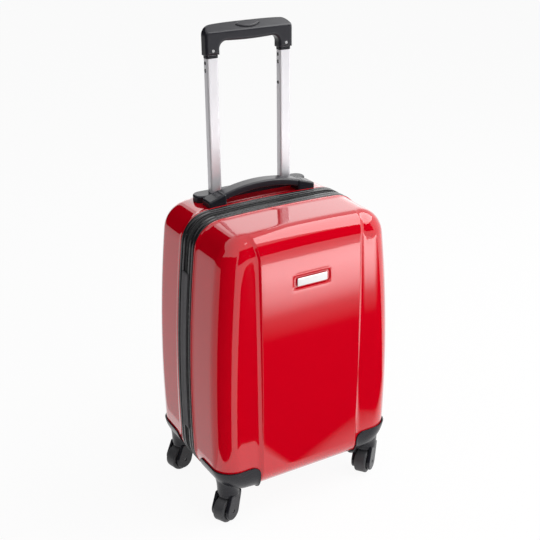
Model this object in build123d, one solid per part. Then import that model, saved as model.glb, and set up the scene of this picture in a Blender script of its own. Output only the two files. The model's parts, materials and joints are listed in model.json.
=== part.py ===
from build123d import *
import math
import os

# Hard-shell cabin suitcase on four casters, in millimetres.
# +Z is up, the floor is z = 0, the front faces -Y and the two halves part at y = 0.

# Case outline, seen from the front
case_width = 362.0
case_bottom = 58.0
case_top = 545.0
side_radius = 2525.0
side_crown_height = 200.0
top_radius = 2600.0
top_corner_radius = 53.0
bottom_corner_radius = 60.0

# Case depth and faces
half_depth = 130.0
draft_angle = 1.0
face_radius = 6750.0
face_edge_radius = 38.0
shell_wall = 2.5

# Raised panel down the middle of each face
panel_half_width = 97.0
panel_rise = 4.0
panel_flank = 5.0

# Band round the opening: trim, zip and hinge tape
band_half = 24.0
trim_proud = 1.5
trim_depth = 3.0
groove_width = 3.0
groove_depth = 1.0
bead_width = 4.0
bead_proud = 1.0
zip_half = 7.0
zip_tape_outer = 0.5
zip_tape_inner = 1.7
chain_half = 2.6
chain_proud = 0.8
chain_depth = 2.5
parting_gap = 0.15
hinge_bottom = 150.0
hinge_top = 450.0
hinge_half = 11.0
hinge_thickness = 1.2

# Lining and the cover over the handle tubes
lining_gap = 0.2
lining_thickness = 0.8
cover_half_width = 96.0
cover_flare = 16.0
cover_thickness = 1.5
cover_front_gap = 4.0
strap_width = 25.0
strap_thickness = 1.2
strap_bottom = 80.0
strap_top = 520.0
buckle_height = 300.0
buckle_length = 58.0
buckle_width = 36.0
buckle_thickness = 9.0
buckle_radius = 5.0
buckle_thumb_radius = 12.0
buckle_thumb_bite = 3.6

# Telescopic handle tubes, one behind the other size
tube_spacing = 140.5
tube_y = 78.0
tube_gap = 0.1
outer_tube_x = 24.2
outer_tube_y = 17.6
outer_wall = 1.2
middle_wall = 1.1
inner_wall = 1.0
tube_corner_radius = 4.0
outer_tube_bottom = 66.0
outer_tube_top = 551.0
middle_bottom = 316.0
middle_top = 788.0
inner_bottom = 550.0
lock_hole_upper = 780.0
lock_hole_lower = 767.5
lock_hole_third = 731.5
lock_hole_diameter = 5.0
lock_pin_diameter = 4.6
lock_pin_length = 10.0
lock_pin_height = 567.5
collar_height = 4.6
collar_proud = 0.3

# Base bracket and bezel of the tubes
base_length = 184.0
base_depth = 24.0
base_height = 18.0
base_radius = 4.0
bezel_length = 224.0
bezel_depth = 32.0
bezel_height = 9.0
bezel_edge_radius = 3.0
bezel_skirt = 30.0
seat_gap = 0.1

# Pull grip and its push button
grip_gap = 0.4
grip_leg_width = 26.0
grip_depth = 22.0
grip_leg_height = 23.0
grip_bar_height = 24.0
grip_arch = 4.5
grip_belly = 2.5
grip_outer_radius = 16.0
grip_inner_radius = 13.0
grip_edge_radius = 5.0
grip_slope_angle = 33.0
grip_slope_drop = 9.0
grip_slope_radius = 3.0
tube_socket = 18.0
button_length = 46.0
button_width = 13.0
button_gap = 0.3
button_proud = 2.0
button_travel = 4.0
bridge_height = 4.0
bridge_depth = 9.0
cavity_depth = 11.0
cavity_wall = 5.0
button_edge_radius = 1.2
rod_diameter = 3.0
rod_gap = 0.5
spring_diameter = 6.0
spring_offset = 40.0
spring_wire = 0.8
grip_screw_diameter = 5.0
grip_screw_height = 8.0
grip_screw_head = 3.0

# Carry handle on top
carry_y = 43.5
carry_half_span = 106.0
carry_cap_length = 34.0
carry_cap_width = 30.0
carry_cap_height = 19.0
carry_width = 26.0
carry_thickness = 12.5
carry_rise = 22.0
carry_edge_radius = 3.5
carry_foot = 7.0
carry_cap_sink = 10.0
carry_cap_slope = 11.0

# Name plate, left bare, in a recess of the front panel
badge_height = 449.0
badge_length = 59.0
badge_width = 14.0
badge_thickness = 1.6
badge_radius = 1.5
badge_chamfer = 0.5
recess_length = 70.0
recess_width = 21.0
recess_depth = 2.0
recess_radius = 5.0

# Corner guards
guard_thickness = 2.6
guard_reach_x = 102.0
guard_reach_y = 42.0
guard_top = 110.0
guard_corner_radius = 16.0
bowl_radius = 20.0
bowl_rim = 6.0
bowl_flare = 7.0
bowl_bottom = 56.0
well_radius = 36.0
well_top = 73.0
well_edge_radius = 8.0

# Casters
swivel_x = 149.0
swivel_y = 94.0
trail = 11.0
trail_angles = {
    "front_left": 207.0,
    "front_right": 216.0,
    "rear_left": 195.0,
    "rear_right": 203.0,
}
wheel_radius = 24.0
wheel_width = 22.0
wheel_edge_radius = 3.0
wheel_dish = 3.0
wheel_rim = 6.0
wheel_hub_radius = 7.0
axle_diameter = 6.0
running_gap = 0.05
fork_gap = 1.5
cheek_thickness = 6.0
cheek_radius = 17.5
cheek_edge_radius = 2.0
shoulder_half = 15.0
axle_inset = 1.0
crown_radius = 19.5
crown_bottom = 50.0
crown_gap = 0.3
pin_diameter = 8.0
pin_head_diameter = 13.0
pin_head_height = 2.0
pin_depth = 8.0

# Zip sliders and their pulls on the right-hand side
slider_upper_height = 330.0
slider_lower_height = 284.0
slider_length = 13.0
slider_half = 5.0
slider_thickness = 1.5
slider_gap = 0.3
slider_flange = 1.6
bridge_rise = 5.0
pull_length = 30.0
pull_width = 8.0
pull_thickness = 1.6
pull_bore = 2.2
pull_eye_wall = 1.0
pull_tip_flat = 1.0
pull_pin_diameter = 1.8
ear_thickness = 1.2

mid_height = (case_top + case_bottom) / 2
far = 1000.0
tolerance = 0.01
rim_share = 0.8
bottom_align = (Align.CENTER, Align.CENTER, Align.MIN)
top_align = (Align.CENTER, Align.CENTER, Align.MAX)


def outline(inset):
    """Front view of the case, moved inwards by inset (outwards if it is negative)."""
    side_centre = case_width / 2 - side_radius
    right = Pos(side_centre, side_crown_height) * Circle(side_radius - inset)
    left = Pos(-side_centre, side_crown_height) * Circle(side_radius - inset)
    top = Pos(0, case_top - top_radius) * Circle(top_radius - inset)
    floor_cut = Pos(0, case_bottom + inset + far) * Rectangle(2 * far, 2 * far)
    face = right & left & top & floor_cut
    high = face.vertices().sort_by(Axis.Y)[-2:]
    face = fillet(high, top_corner_radius - inset)
    low = face.vertices().sort_by(Axis.Y)[:2]
    return fillet(low, bottom_corner_radius - inset)


def ring(outer, inner, y_start, y_end):
    """Strip round the case between two insets of its outline, from y_start to y_end."""
    length = y_end - y_start
    section = outline(outer) - outline(inner)
    return extrude(Plane.XZ.offset(-y_end) * section, length)


def span(x0, x1, y0, y1, z0, z1):
    """Box between two corners."""
    centre = Pos((x0 + x1) / 2, (y0 + y1) / 2, (z0 + z1) / 2)
    return centre * Box(x1 - x0, y1 - y0, z1 - z0)


def front_form(inset):
    """Solid front half of the case, moved inwards by inset, with its raised panel."""
    depth = half_depth - inset
    block = extrude(Plane.XZ * outline(inset), depth + face_edge_radius, taper=draft_angle)
    dome = Pos(0, face_radius - half_depth, mid_height) * Rot(0, 90, 0)
    block = block & dome * Cylinder(face_radius - inset, 2 * far)
    rim = block.edges().filter_by(lambda e: e.center().Y < -rim_share * depth)
    block = fillet(rim, face_edge_radius - inset)
    half = panel_half_width - inset
    slope = panel_flank / panel_rise
    high = half - slope * panel_rise
    low = half + slope * face_edge_radius
    y_low = -(depth - face_edge_radius)
    y_high = -(depth + panel_rise)
    flank = Polyline((-low, y_low), (-high, y_high), (high, y_high), (low, y_low), close=True)
    wedge = extrude(Plane.XY.offset(-far / 2) * make_face(flank), 2 * far)
    return block + (Pos(0, -panel_rise, 0) * block & wedge)


def to_rear(shape):
    """Mirror of a front piece on the rear half."""
    return mirror(shape, about=Plane.XZ)


def on_left(shape):
    """Mirror of a right-hand piece on the left side."""
    return mirror(shape, about=Plane.YZ)


def tube_section(size_x, size_y, wall):
    """Rounded tube section with its bore."""
    outside = RectangleRounded(size_x, size_y, tube_corner_radius)
    bore = RectangleRounded(size_x - 2 * wall, size_y - 2 * wall, tube_corner_radius - wall)
    return outside - bore


def rounded_bar(size_x, size_y, bottom, top, radius=tube_corner_radius):
    """Upright rounded bar on the tube line, for sockets and clearances."""
    section = RectangleRounded(size_x, size_y, radius)
    return Pos(0, tube_y, bottom) * extrude(section, top - bottom)


def both_tubes(shape):
    """Copies of a centred piece at the left and right tubes."""
    shift = tube_spacing / 2
    return Pos(-shift, 0, 0) * shape, Pos(shift, 0, 0) * shape


middle_tube_x = outer_tube_x - 2 * outer_wall - 2 * tube_gap
middle_tube_y = outer_tube_y - 2 * outer_wall - 2 * tube_gap
inner_tube_x = middle_tube_x - 2 * middle_wall - 2 * tube_gap
inner_tube_y = middle_tube_y - 2 * middle_wall - 2 * tube_gap
grip_bottom = middle_top + collar_height + grip_gap
bar_bottom = grip_bottom + grip_leg_height
bar_top = bar_bottom + grip_bar_height
inner_top = grip_bottom + tube_socket
bezel_top = case_top + bezel_height
cover_front = tube_y - base_depth / 2 - cover_front_gap
lining_inset = shell_wall + lining_gap + lining_thickness

outside_form = front_form(0.0)
inside_form = front_form(shell_wall)
lining_form = front_form(shell_wall + lining_gap)
space_form = front_form(lining_inset)
guard_form = front_form(-guard_thickness)
seat_form = to_rear(front_form(lining_inset + seat_gap))
band_block = span(-far, far, -band_half, far, -far, far)


def wheel_well(grow):
    """Hollow round the caster's neck under the front right-hand corner, grown by grow."""
    top = well_top + grow
    well = Pos(swivel_x, -swivel_y, top - far / 2) * Cylinder(well_radius + grow, far)
    return fillet(well.faces().sort_by(Axis.Z)[-1].edges(), well_edge_radius + grow)


def plain_shell():
    """Front shell before its own cut-outs, with the bead along the rim."""
    bead = ring(-bead_proud, shell_wall, -band_half - bead_width, -band_half)
    shell = (outside_form - inside_form - band_block) + bead
    well = wheel_well(guard_thickness)
    return shell - well - on_left(well)


badge_place = Pos(0, -half_depth - panel_rise, badge_height) * Rot(90, 0, 0)


def recess_backing(gap):
    """Block behind the name plate's recess, grown by gap."""
    grow = shell_wall + gap
    pad = RectangleRounded(recess_length + 2 * grow, recess_width + 2 * grow, recess_radius + grow)
    depth = shell_wall + recess_depth + gap
    return badge_place * Pos(0, 0, -depth) * extrude(pad, depth)


def front_shell():
    """Front shell with the recess that takes the name plate."""
    pocket = RectangleRounded(recess_length, recess_width, recess_radius)
    recess = badge_place * Pos(0, 0, -recess_depth) * extrude(pocket, 2 * recess_depth)
    return plain_shell() + (recess_backing(0.0) & outside_form) - recess


def rear_shell():
    """Rear shell with the two holes that the handle tubes pass through."""
    shell = to_rear(plain_shell())
    hole = rounded_bar(outer_tube_x + 2 * tube_gap, outer_tube_y + 2 * tube_gap, mid_height, bezel_top)
    for cut in both_tubes(hole):
        shell = shell - cut
    return shell


def name_plate():
    """Bare metal plate standing in the recess."""
    place = badge_place * Pos(0, 0, -recess_depth)
    plate = extrude(RectangleRounded(badge_length, badge_width, badge_radius), badge_thickness)
    return place * chamfer(plate.faces().sort_by(Axis.Z)[-1].edges(), badge_chamfer)


def trim_strip():
    """Front half of the band: a strip between shell and zip with a groove along it."""
    middle = -(band_half + zip_half) / 2
    strip = ring(-trim_proud, trim_depth, -band_half, -zip_half)
    groove = ring(-trim_proud - groove_depth, groove_depth - trim_proud,
                  middle - groove_width / 2, middle + groove_width / 2)
    return strip - groove


def zip_strip():
    """Front half of the zip: tape all round, chain left out where the hinge tape is."""
    tape = ring(zip_tape_outer, zip_tape_inner, -zip_half, -parting_gap)
    chain = ring(-chain_proud, chain_depth, -chain_half, -parting_gap)
    hinge_side = span(-far, 0, -far, far, hinge_bottom, hinge_top)
    return tape + (chain - hinge_side)


def hinge_leaf():
    """Front leaf of the fabric hinge on the left side."""
    leaf = ring(-trim_proud - hinge_thickness, -trim_proud, -hinge_half, -parting_gap)
    return leaf & span(-far, 0, -far, far, hinge_bottom, hinge_top)


def plain_lining():
    """Fabric lining of either half, as it lies in the front one."""
    well = wheel_well(guard_thickness + lining_gap)
    return lining_form - space_form - band_block - well - on_left(well)


def front_lining():
    """Lining of the front half, cut away behind the name plate."""
    return plain_lining() - recess_backing(lining_gap)


def rear_lining():
    """Lining of the rear half, cut away round the handle tubes."""
    lining = to_rear(plain_lining())
    gap = 2 * seat_gap
    hole = rounded_bar(outer_tube_x + gap, outer_tube_y + gap, mid_height, case_top)
    for cut in both_tubes(hole):
        lining = lining - cut
    return lining


def cover_block(inset):
    """Plan of the tube cover, moved inwards by inset, as an upright block."""
    narrow = cover_half_width - inset
    wide = narrow + cover_flare
    corners = Polyline((-wide, half_depth), (-narrow, cover_front + inset),
                       (narrow, cover_front + inset), (wide, half_depth), close=True)
    return extrude(make_face(corners), case_top)


def handle_cover():
    """Folded sheet that closes off the tubes inside the rear half."""
    fold = cover_block(0.0) - cover_block(cover_thickness)
    return fold & seat_form


def packing_straps():
    """Two webbing straps lying on the tube cover, above and below their buckle."""
    face = cover_front - seat_gap
    reach = buckle_length / 2
    back = face - strap_thickness
    half = strap_width / 2
    lower = span(-half, half, back, face, strap_bottom, buckle_height - reach)
    upper = span(-half, half, back, face, buckle_height + reach, strap_top)
    return Compound(children=[lower, upper])


def strap_buckle():
    """Side-release buckle that joins the straps, as one closed piece."""
    place = Pos(0, cover_front - seat_gap, buckle_height) * Rot(90, 0, 0)
    body = extrude(RectangleRounded(buckle_width, buckle_length, buckle_radius), buckle_thickness)
    body = fillet(body.faces().sort_by(Axis.Z)[-1].edges(), buckle_radius / 2)
    thumb = Pos(0, 0, buckle_thickness / 2) * Cylinder(buckle_thumb_radius, 2 * buckle_thickness)
    thumb_x = buckle_width / 2 + buckle_thumb_radius - buckle_thumb_bite
    body = body - Pos(-thumb_x, 0, 0) * thumb - Pos(thumb_x, 0, 0) * thumb
    return place * body


def straight_tube(size_x, size_y, wall, bottom, top):
    """Upright tube on the tube line, before it is moved to its side."""
    return Pos(0, tube_y, bottom) * extrude(tube_section(size_x, size_y, wall), top - bottom)


def side_bore(height, diameter):
    """Cutter for a hole in the left wall of a tube."""
    place = Pos(-outer_tube_x / 2, tube_y, height) * Rot(0, 90, 0)
    return place * Cylinder(diameter / 2, outer_tube_x / 2)


def middle_tube(heights):
    """Middle tube with its row of lock holes in the left wall."""
    tube = straight_tube(middle_tube_x, middle_tube_y, middle_wall, middle_bottom, middle_top)
    for height in heights:
        tube = tube - side_bore(height, lock_hole_diameter)
    return tube


def inner_tube():
    """Inner tube with the hole its lock pin works through."""
    tube = straight_tube(inner_tube_x, inner_tube_y, inner_wall, inner_bottom, inner_top)
    return tube - side_bore(lock_pin_height, lock_pin_diameter + 2 * tube_gap)


def lock_pin():
    """Lock pin in the wall of the inner tube, drawn in flush."""
    start = -inner_tube_x / 2
    pin = Cylinder(lock_pin_diameter / 2, lock_pin_length, align=bottom_align)
    return Pos(start, tube_y, lock_pin_height) * Rot(0, 90, 0) * pin


def tube_collar():
    """Plastic collar on the mouth of a middle tube, round the inner tube."""
    proud = 2 * collar_proud
    gap = 2 * tube_gap
    outside = RectangleRounded(middle_tube_x + proud, middle_tube_y + proud, tube_corner_radius)
    bore = RectangleRounded(inner_tube_x + gap, inner_tube_y + gap, tube_corner_radius - middle_wall)
    return Pos(0, tube_y, middle_top) * extrude(outside - bore, collar_height)


def tube_base():
    """Bracket on the floor of the case that holds the foot of both outer tubes."""
    block = extrude(RectangleRounded(base_length, base_depth, base_radius), base_height)
    block = fillet(block.faces().sort_by(Axis.Z)[-1].edges(), base_radius / 2)
    block = Pos(0, tube_y, case_bottom) * block & seat_form
    gap = 2 * seat_gap
    socket = rounded_bar(outer_tube_x + gap, outer_tube_y + gap, outer_tube_bottom, case_top)
    for cut in both_tubes(socket):
        block = block - cut
    return block


def handle_bezel():
    """Long plate on top of the case that the tubes slide through."""
    drop = case_top - bezel_skirt
    section = RectangleRounded(bezel_length, bezel_depth, bezel_depth / 2 - seat_gap)
    plate = extrude(section, bezel_top - drop)
    plate = fillet(plate.faces().sort_by(Axis.Z)[-1].edges(), bezel_edge_radius)
    plate = Pos(0, tube_y, drop) * plate - to_rear(outside_form)
    loose = 2 * seat_gap
    close = 2 * tube_gap
    pocket = rounded_bar(outer_tube_x + loose, outer_tube_y + loose, drop, outer_tube_top + seat_gap)
    mouth = rounded_bar(middle_tube_x + close, middle_tube_y + close, drop, bezel_top)
    for cut in both_tubes(pocket + mouth):
        plate = plate - cut
    return plate


def grip_outline():
    """Front view of the pull grip: two legs, an arched bar and a bellied underside."""
    wide = tube_spacing / 2 + grip_leg_width / 2
    narrow = tube_spacing / 2 - grip_leg_width / 2
    top = ThreePointArc((-wide, bar_top), (0, bar_top + grip_arch), (wide, bar_top))
    belly = ThreePointArc((narrow, bar_bottom), (0, bar_bottom - grip_belly), (-narrow, bar_bottom))
    right = Polyline((wide, bar_top), (wide, grip_bottom), (narrow, grip_bottom), (narrow, bar_bottom))
    left = Polyline((-narrow, bar_bottom), (-narrow, grip_bottom), (-wide, grip_bottom), (-wide, bar_top))
    face = make_face(Wire([top, belly, *right.edges(), *left.edges()]))
    outer = face.vertices().filter_by(lambda v: abs(v.Y - bar_top) < tolerance)
    face = fillet(outer, grip_outer_radius)
    inner = face.vertices().filter_by(lambda v: abs(v.Y - bar_bottom) < tolerance)
    return fillet(inner, grip_inner_radius)


def oval(length, width):
    """Pointed oval of the push button, from two arcs."""
    half = length / 2
    rise = width / 2
    lower = ThreePointArc((-half, 0), (0, -rise), (half, 0))
    upper = ThreePointArc((half, 0), (0, rise), (-half, 0))
    return make_face(Wire([lower, upper]))


cavity_floor = bar_bottom + cavity_wall
bridge_bottom = cavity_floor + button_travel + running_gap
cavity_top = bridge_bottom + bridge_height + running_gap


def slope_cut(lift):
    """Space over the grip's sloping top, raised by lift."""
    climb = math.tan(math.radians(grip_slope_angle))
    front = tube_y - grip_depth
    back = tube_y + grip_depth
    low = bar_top - grip_slope_drop + lift - climb * grip_depth / 2
    high = low + climb * (back - front)
    side = make_face(Polyline((front, low), (back, high), (front, high), close=True))
    return Pos(-far / 2, 0, 0) * extrude(Plane.YZ * side, far)


def pull_grip():
    """Pull grip with tube sockets, the button's cavity and the rod channels."""
    grip = extrude(Plane.XZ.offset(-tube_y - grip_depth / 2) * grip_outline(), grip_depth)
    sides = grip.faces().filter_by(Axis.Y)
    grip = fillet(sides.edges(), grip_edge_radius) - slope_cut(0.0)
    tilt = Vector(0, -math.sin(math.radians(grip_slope_angle)), math.cos(math.radians(grip_slope_angle)))
    slope = grip.faces().filter_by(GeomType.PLANE).sort_by(lambda f: f.normal_at().dot(tilt))[-1]
    grip = fillet(slope.edges(), grip_slope_radius)
    half = tube_spacing / 2 + rod_diameter
    cavity = span(-half - rod_gap, half + rod_gap, tube_y - cavity_depth / 2, tube_y + cavity_depth / 2,
                  cavity_floor, cavity_top)
    grip = grip - cavity
    window = oval(button_length + 2 * button_gap, button_width + 2 * button_gap)
    grip = grip - Pos(0, tube_y, cavity_floor) * extrude(window, grip_bar_height)
    gap = 2 * tube_gap
    socket = rounded_bar(inner_tube_x + gap, inner_tube_y + gap, middle_top, inner_top)
    channel = Pos(0, tube_y, (inner_top + cavity_top) / 2)
    channel = channel * Cylinder(rod_diameter / 2 + rod_gap, cavity_top - inner_top)
    for cut in both_tubes(socket + channel):
        grip = grip - cut
    for cut in both_tubes(screw_body(running_gap)):
        grip = grip - cut
    return grip


def screw_body(gap):
    """Screw that holds a grip leg on its tube, entered from the front."""
    place = Pos(0, tube_y - grip_depth / 2, grip_bottom + grip_screw_height) * Rot(90, 0, 0)
    return place * Cylinder(grip_screw_diameter / 2 + gap, grip_screw_head, align=top_align)


def push_button():
    """Oval push button with the bridge that reaches both push rods."""
    height = bar_top + grip_arch + button_proud - bridge_bottom
    cap = Pos(0, tube_y, bridge_bottom) * extrude(oval(button_length, button_width), height)
    cap = cap - slope_cut(button_proud)
    cap = fillet(cap.faces().sort_by(Axis.Z)[-1].edges(), button_edge_radius)
    half = tube_spacing / 2 + rod_diameter
    bridge = span(-half, half, tube_y - bridge_depth / 2, tube_y + bridge_depth / 2,
                  bridge_bottom, bridge_bottom + bridge_height)
    return cap + bridge


def push_rod():
    """Rod from the button's bridge down to the lock pin."""
    bottom = lock_pin_height + lock_pin_diameter / 2 + button_travel + rod_gap
    return Pos(0, tube_y, bottom) * Cylinder(rod_diameter / 2, bridge_bottom - bottom, align=bottom_align)


def button_springs():
    """Two return springs under the bridge, as the sleeves they fill."""
    height = bridge_bottom - cavity_floor
    sleeve = Circle(spring_diameter / 2) - Circle(spring_diameter / 2 - spring_wire)
    coil = Pos(0, tube_y, cavity_floor) * extrude(sleeve, height)
    return Compound(children=[Pos(-spring_offset, 0, 0) * coil, Pos(spring_offset, 0, 0) * coil])


def carry_arch():
    """Arched carry handle between its two end caps."""
    end = carry_half_span - carry_cap_length / 2
    foot = case_top + carry_foot
    crest = foot + carry_rise - carry_thickness
    under = foot - carry_thickness / 2
    over = foot + carry_thickness / 2
    low = ThreePointArc((-end, under), (0, crest), (end, under))
    high = ThreePointArc((end, over), (0, crest + carry_thickness), (-end, over))
    side = make_face(Wire([low, Line(low @ 1, high @ 0), high, Line(high @ 1, low @ 0)]))
    bar = extrude(Plane.XZ.offset(-carry_y - carry_width / 2) * side, carry_width)
    long_edges = bar.faces().filter_by(Axis.Y).edges().filter_by(GeomType.CIRCLE)
    return fillet(long_edges, carry_edge_radius)


def carry_cap(arch):
    """Right-hand end cap: a wedge-topped block on the shell that grips the arch."""
    inner = carry_half_span - carry_cap_length
    base = case_top - carry_cap_sink
    top = case_top + carry_cap_height
    line = Polyline((inner, base), (carry_half_span, base), (carry_half_span, top - carry_cap_slope),
                    (inner, top), close=True)
    cap = extrude(Plane.XZ.offset(-carry_y - carry_cap_width / 2) * make_face(line), carry_cap_width)
    rounded = cap.edges().filter_by(lambda e: e.center().Z > case_top - carry_cap_sink / 2)
    cap = fillet(rounded, carry_edge_radius)
    return cap - to_rear(outside_form) - arch


def corner_guard():
    """Front right-hand guard: a skin over the corner with the bowl of the caster."""
    sheet = RectangleRounded(far, far, guard_corner_radius)
    front = Pos(guard_reach_x + far / 2, guard_top - far / 2) * sheet
    side = Pos(guard_reach_y + far / 2, guard_top - far / 2) * sheet
    seen_front = extrude(Plane.XZ * front, far)
    seen_side = extrude(Plane.YZ * mirror(side, about=Plane.YZ), far)
    region = seen_front & seen_side
    skin = (guard_form - outside_form) & region
    cup = (wheel_well(guard_thickness) & guard_form) - wheel_well(0.0)
    roof = well_top + guard_thickness / 2
    rim = bowl_bottom + bowl_rim
    base = Polyline((0, roof), (0, bowl_bottom), (bowl_radius, bowl_bottom), (bowl_radius, rim))
    flare = RadiusArc(base @ 1, (bowl_radius + bowl_flare, roof), roof - bowl_bottom)
    lid = Line(flare @ 1, base @ 0)
    neck = revolve(Plane.XZ * make_face(Wire([*base.edges(), flare, lid])), Axis.Z)
    guard = (skin - wheel_well(0.0)) + cup + Pos(swivel_x, -swivel_y, 0) * neck
    bore = Cylinder(pin_diameter / 2 + running_gap, 2 * pin_depth)
    return guard - Pos(swivel_x, -swivel_y, bowl_bottom) * bore


def caster_place(side, end):
    """Location of a caster's swivel axis on the floor."""
    return Pos(side * swivel_x, end * swivel_y, 0)


def caster_pin():
    """Steel kingpin with the head that carries the fork."""
    top = bowl_bottom + pin_depth - seat_gap
    shank_bottom = crown_bottom - running_gap - pin_head_height
    shank = Pos(0, 0, shank_bottom) * Cylinder(pin_diameter / 2, top - shank_bottom, align=bottom_align)
    head = Pos(0, 0, shank_bottom) * Cylinder(pin_head_diameter / 2, pin_head_height, align=bottom_align)
    return shank + head


def caster_fork():
    """Swivel fork with a round crown and two fender-like cheeks."""
    crown_top = bowl_bottom - crown_gap
    crown = Pos(0, 0, crown_bottom) * Cylinder(crown_radius, crown_top - crown_bottom, align=bottom_align)
    hub = Pos(trail, wheel_radius) * Circle(cheek_radius)
    shoulder = Pos(0, (crown_bottom + crown_top) / 2) * Rectangle(2 * shoulder_half, crown_top - crown_bottom)
    plate = make_hull(hub.edges() + shoulder.edges())
    inner = wheel_width / 2 + fork_gap
    cheek = extrude(Plane.XZ * plate, cheek_thickness)
    cheek = fillet(cheek.faces().sort_by(Axis.Y)[0].edges(), cheek_edge_radius)
    cheeks = Pos(0, -inner, 0) * cheek
    cheeks = cheeks + mirror(cheeks, about=Plane.XZ)
    web = span(-shoulder_half, shoulder_half, -inner, inner, crown_bottom, crown_top)
    fork = crown + cheeks + (web & crown)
    fork = fork - Pos(0, 0, crown_bottom) * Cylinder(pin_diameter / 2 + running_gap, 2 * crown_radius)
    axle_place = Pos(trail, 0, wheel_radius) * Rot(90, 0, 0)
    return fork - axle_place * Cylinder(axle_diameter / 2 + running_gap, 2 * far)


def caster_axle():
    """Axle riveted through both cheeks."""
    length = wheel_width + 2 * fork_gap + 2 * cheek_thickness - 2 * axle_inset
    return Pos(trail, 0, wheel_radius) * Rot(90, 0, 0) * Cylinder(axle_diameter / 2, length)


def caster_wheel():
    """Wheel with rounded tread edges and dished sides."""
    half = wheel_width / 2
    bore = axle_diameter / 2 + running_gap
    rim = wheel_radius - wheel_rim
    section = Polyline((bore, half), (wheel_hub_radius, half), (wheel_hub_radius, half - wheel_dish),
                       (rim, half - wheel_dish), (rim, half), (wheel_radius, half),
                       (wheel_radius, -half), (rim, -half), (rim, wheel_dish - half),
                       (wheel_hub_radius, wheel_dish - half), (wheel_hub_radius, -half),
                       (bore, -half), close=True)
    face = make_face(section)
    tread = face.vertices().filter_by(lambda v: v.X > wheel_radius - tolerance)
    face = fillet(tread, wheel_edge_radius)
    wheel = revolve(Plane.XZ * face, Axis.Z)
    return Pos(trail, 0, wheel_radius) * Rot(90, 0, 0) * wheel


def slider_body(height):
    """Zip slider on the right side: a plate over the chain, a rear flange and a bridge."""
    box = span(0, far, -far, far, height - slider_length / 2, height + slider_length / 2)
    inner = -chain_proud - slider_gap
    plate = ring(inner - slider_thickness, inner, -slider_half, slider_half) & box
    flange = ring(inner, zip_tape_outer - slider_gap, slider_half - slider_flange, slider_half) & box
    return plate + flange + slider_bridge(height)


def pull_axis_x(height):
    """Distance of a pull's pin from the centre plane."""
    drop = side_radius - math.sqrt(side_radius ** 2 - (height - side_crown_height) ** 2)
    return case_width / 2 - drop + chain_proud + slider_gap + slider_thickness + bridge_rise / 2


def slider_bridge(height):
    """Two ears and the pin on the slider that carry its pull."""
    x = pull_axis_x(height)
    ear_half = pull_width / 2 + slider_gap
    low = x - bridge_rise / 2 - slider_thickness / 2
    ears = None
    for side in (-1, 1):
        start = side * ear_half
        stop = side * (ear_half + ear_thickness)
        ear = span(low, x + pull_pin_diameter, min(start, stop), max(start, stop),
                   height - pull_pin_diameter, height + pull_pin_diameter)
        ears = ear if ears is None else ears + ear
    pin = Pos(x, 0, height) * Rot(90, 0, 0) * Cylinder(pull_pin_diameter / 2, 2 * ear_half)
    return ears + pin


def slider_pull(height):
    """Flat pull tab hanging from a slider's pin."""
    x = pull_axis_x(height)
    eye = Circle(pull_bore / 2 + pull_eye_wall)
    tab = extrude(Plane.XZ.offset(-pull_width / 2) * Pos(x, height) * eye, pull_width)
    tongue = span(x - pull_thickness / 2, x + pull_thickness / 2, -pull_width / 2, pull_width / 2,
                  height - pull_length, height)
    tip = tongue.edges().filter_by(Axis.X).sort_by(Axis.Z)[:2]
    tab = tab + fillet(tip, pull_width / 2 - pull_tip_flat)
    return tab - Pos(x, 0, height) * Rot(90, 0, 0) * Cylinder(pull_bore / 2, 2 * pull_width)


def write(name, shape):
    """Save one piece under its own name."""
    export_step(shape, os.path.join("parts", name + ".step"))


def write_case():
    """Shells, band, linings and what is fixed inside the rear half."""
    write("front_shell", front_shell())
    write("rear_shell", rear_shell())
    write("name_plate", name_plate())
    write("front_trim", trim_strip())
    write("rear_trim", to_rear(trim_strip()))
    write("front_zip_half", zip_strip())
    write("rear_zip_half", to_rear(zip_strip()))
    write("front_hinge_tape", hinge_leaf())
    write("rear_hinge_tape", to_rear(hinge_leaf()))
    write("front_lining", front_lining())
    write("rear_lining", rear_lining())
    write("handle_cover", handle_cover())
    write("packing_straps", packing_straps())
    write("strap_buckle", strap_buckle())


def write_handles():
    """Telescopic handle with its button and locks, and the carry handle."""
    outer_tube = straight_tube(outer_tube_x, outer_tube_y, outer_wall, outer_tube_bottom, outer_tube_top)
    pairs = {
        "outer_tube": both_tubes(outer_tube),
        "inner_tube": both_tubes(inner_tube()),
        "tube_collar": both_tubes(tube_collar()),
        "lock_pin": both_tubes(lock_pin()),
        "push_rod": both_tubes(push_rod()),
    }
    for name, (left, right) in pairs.items():
        write(name + "_left", left)
        write(name + "_right", right)
    two_holes = (lock_hole_upper, lock_hole_lower)
    three_holes = (lock_hole_upper, lock_hole_lower, lock_hole_third)
    write("middle_tube_left", both_tubes(middle_tube(two_holes))[0])
    write("middle_tube_right", both_tubes(middle_tube(three_holes))[1])
    write("tube_base", tube_base())
    write("handle_bezel", handle_bezel())
    write("pull_grip", pull_grip())
    write("grip_screws", Compound(children=list(both_tubes(screw_body(0.0)))))
    write("push_button", push_button())
    write("button_springs", button_springs())
    arch = carry_arch()
    cap = carry_cap(arch)
    write("carry_handle", arch)
    write("carry_cap_right", cap)
    write("carry_cap_left", on_left(cap))


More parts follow.
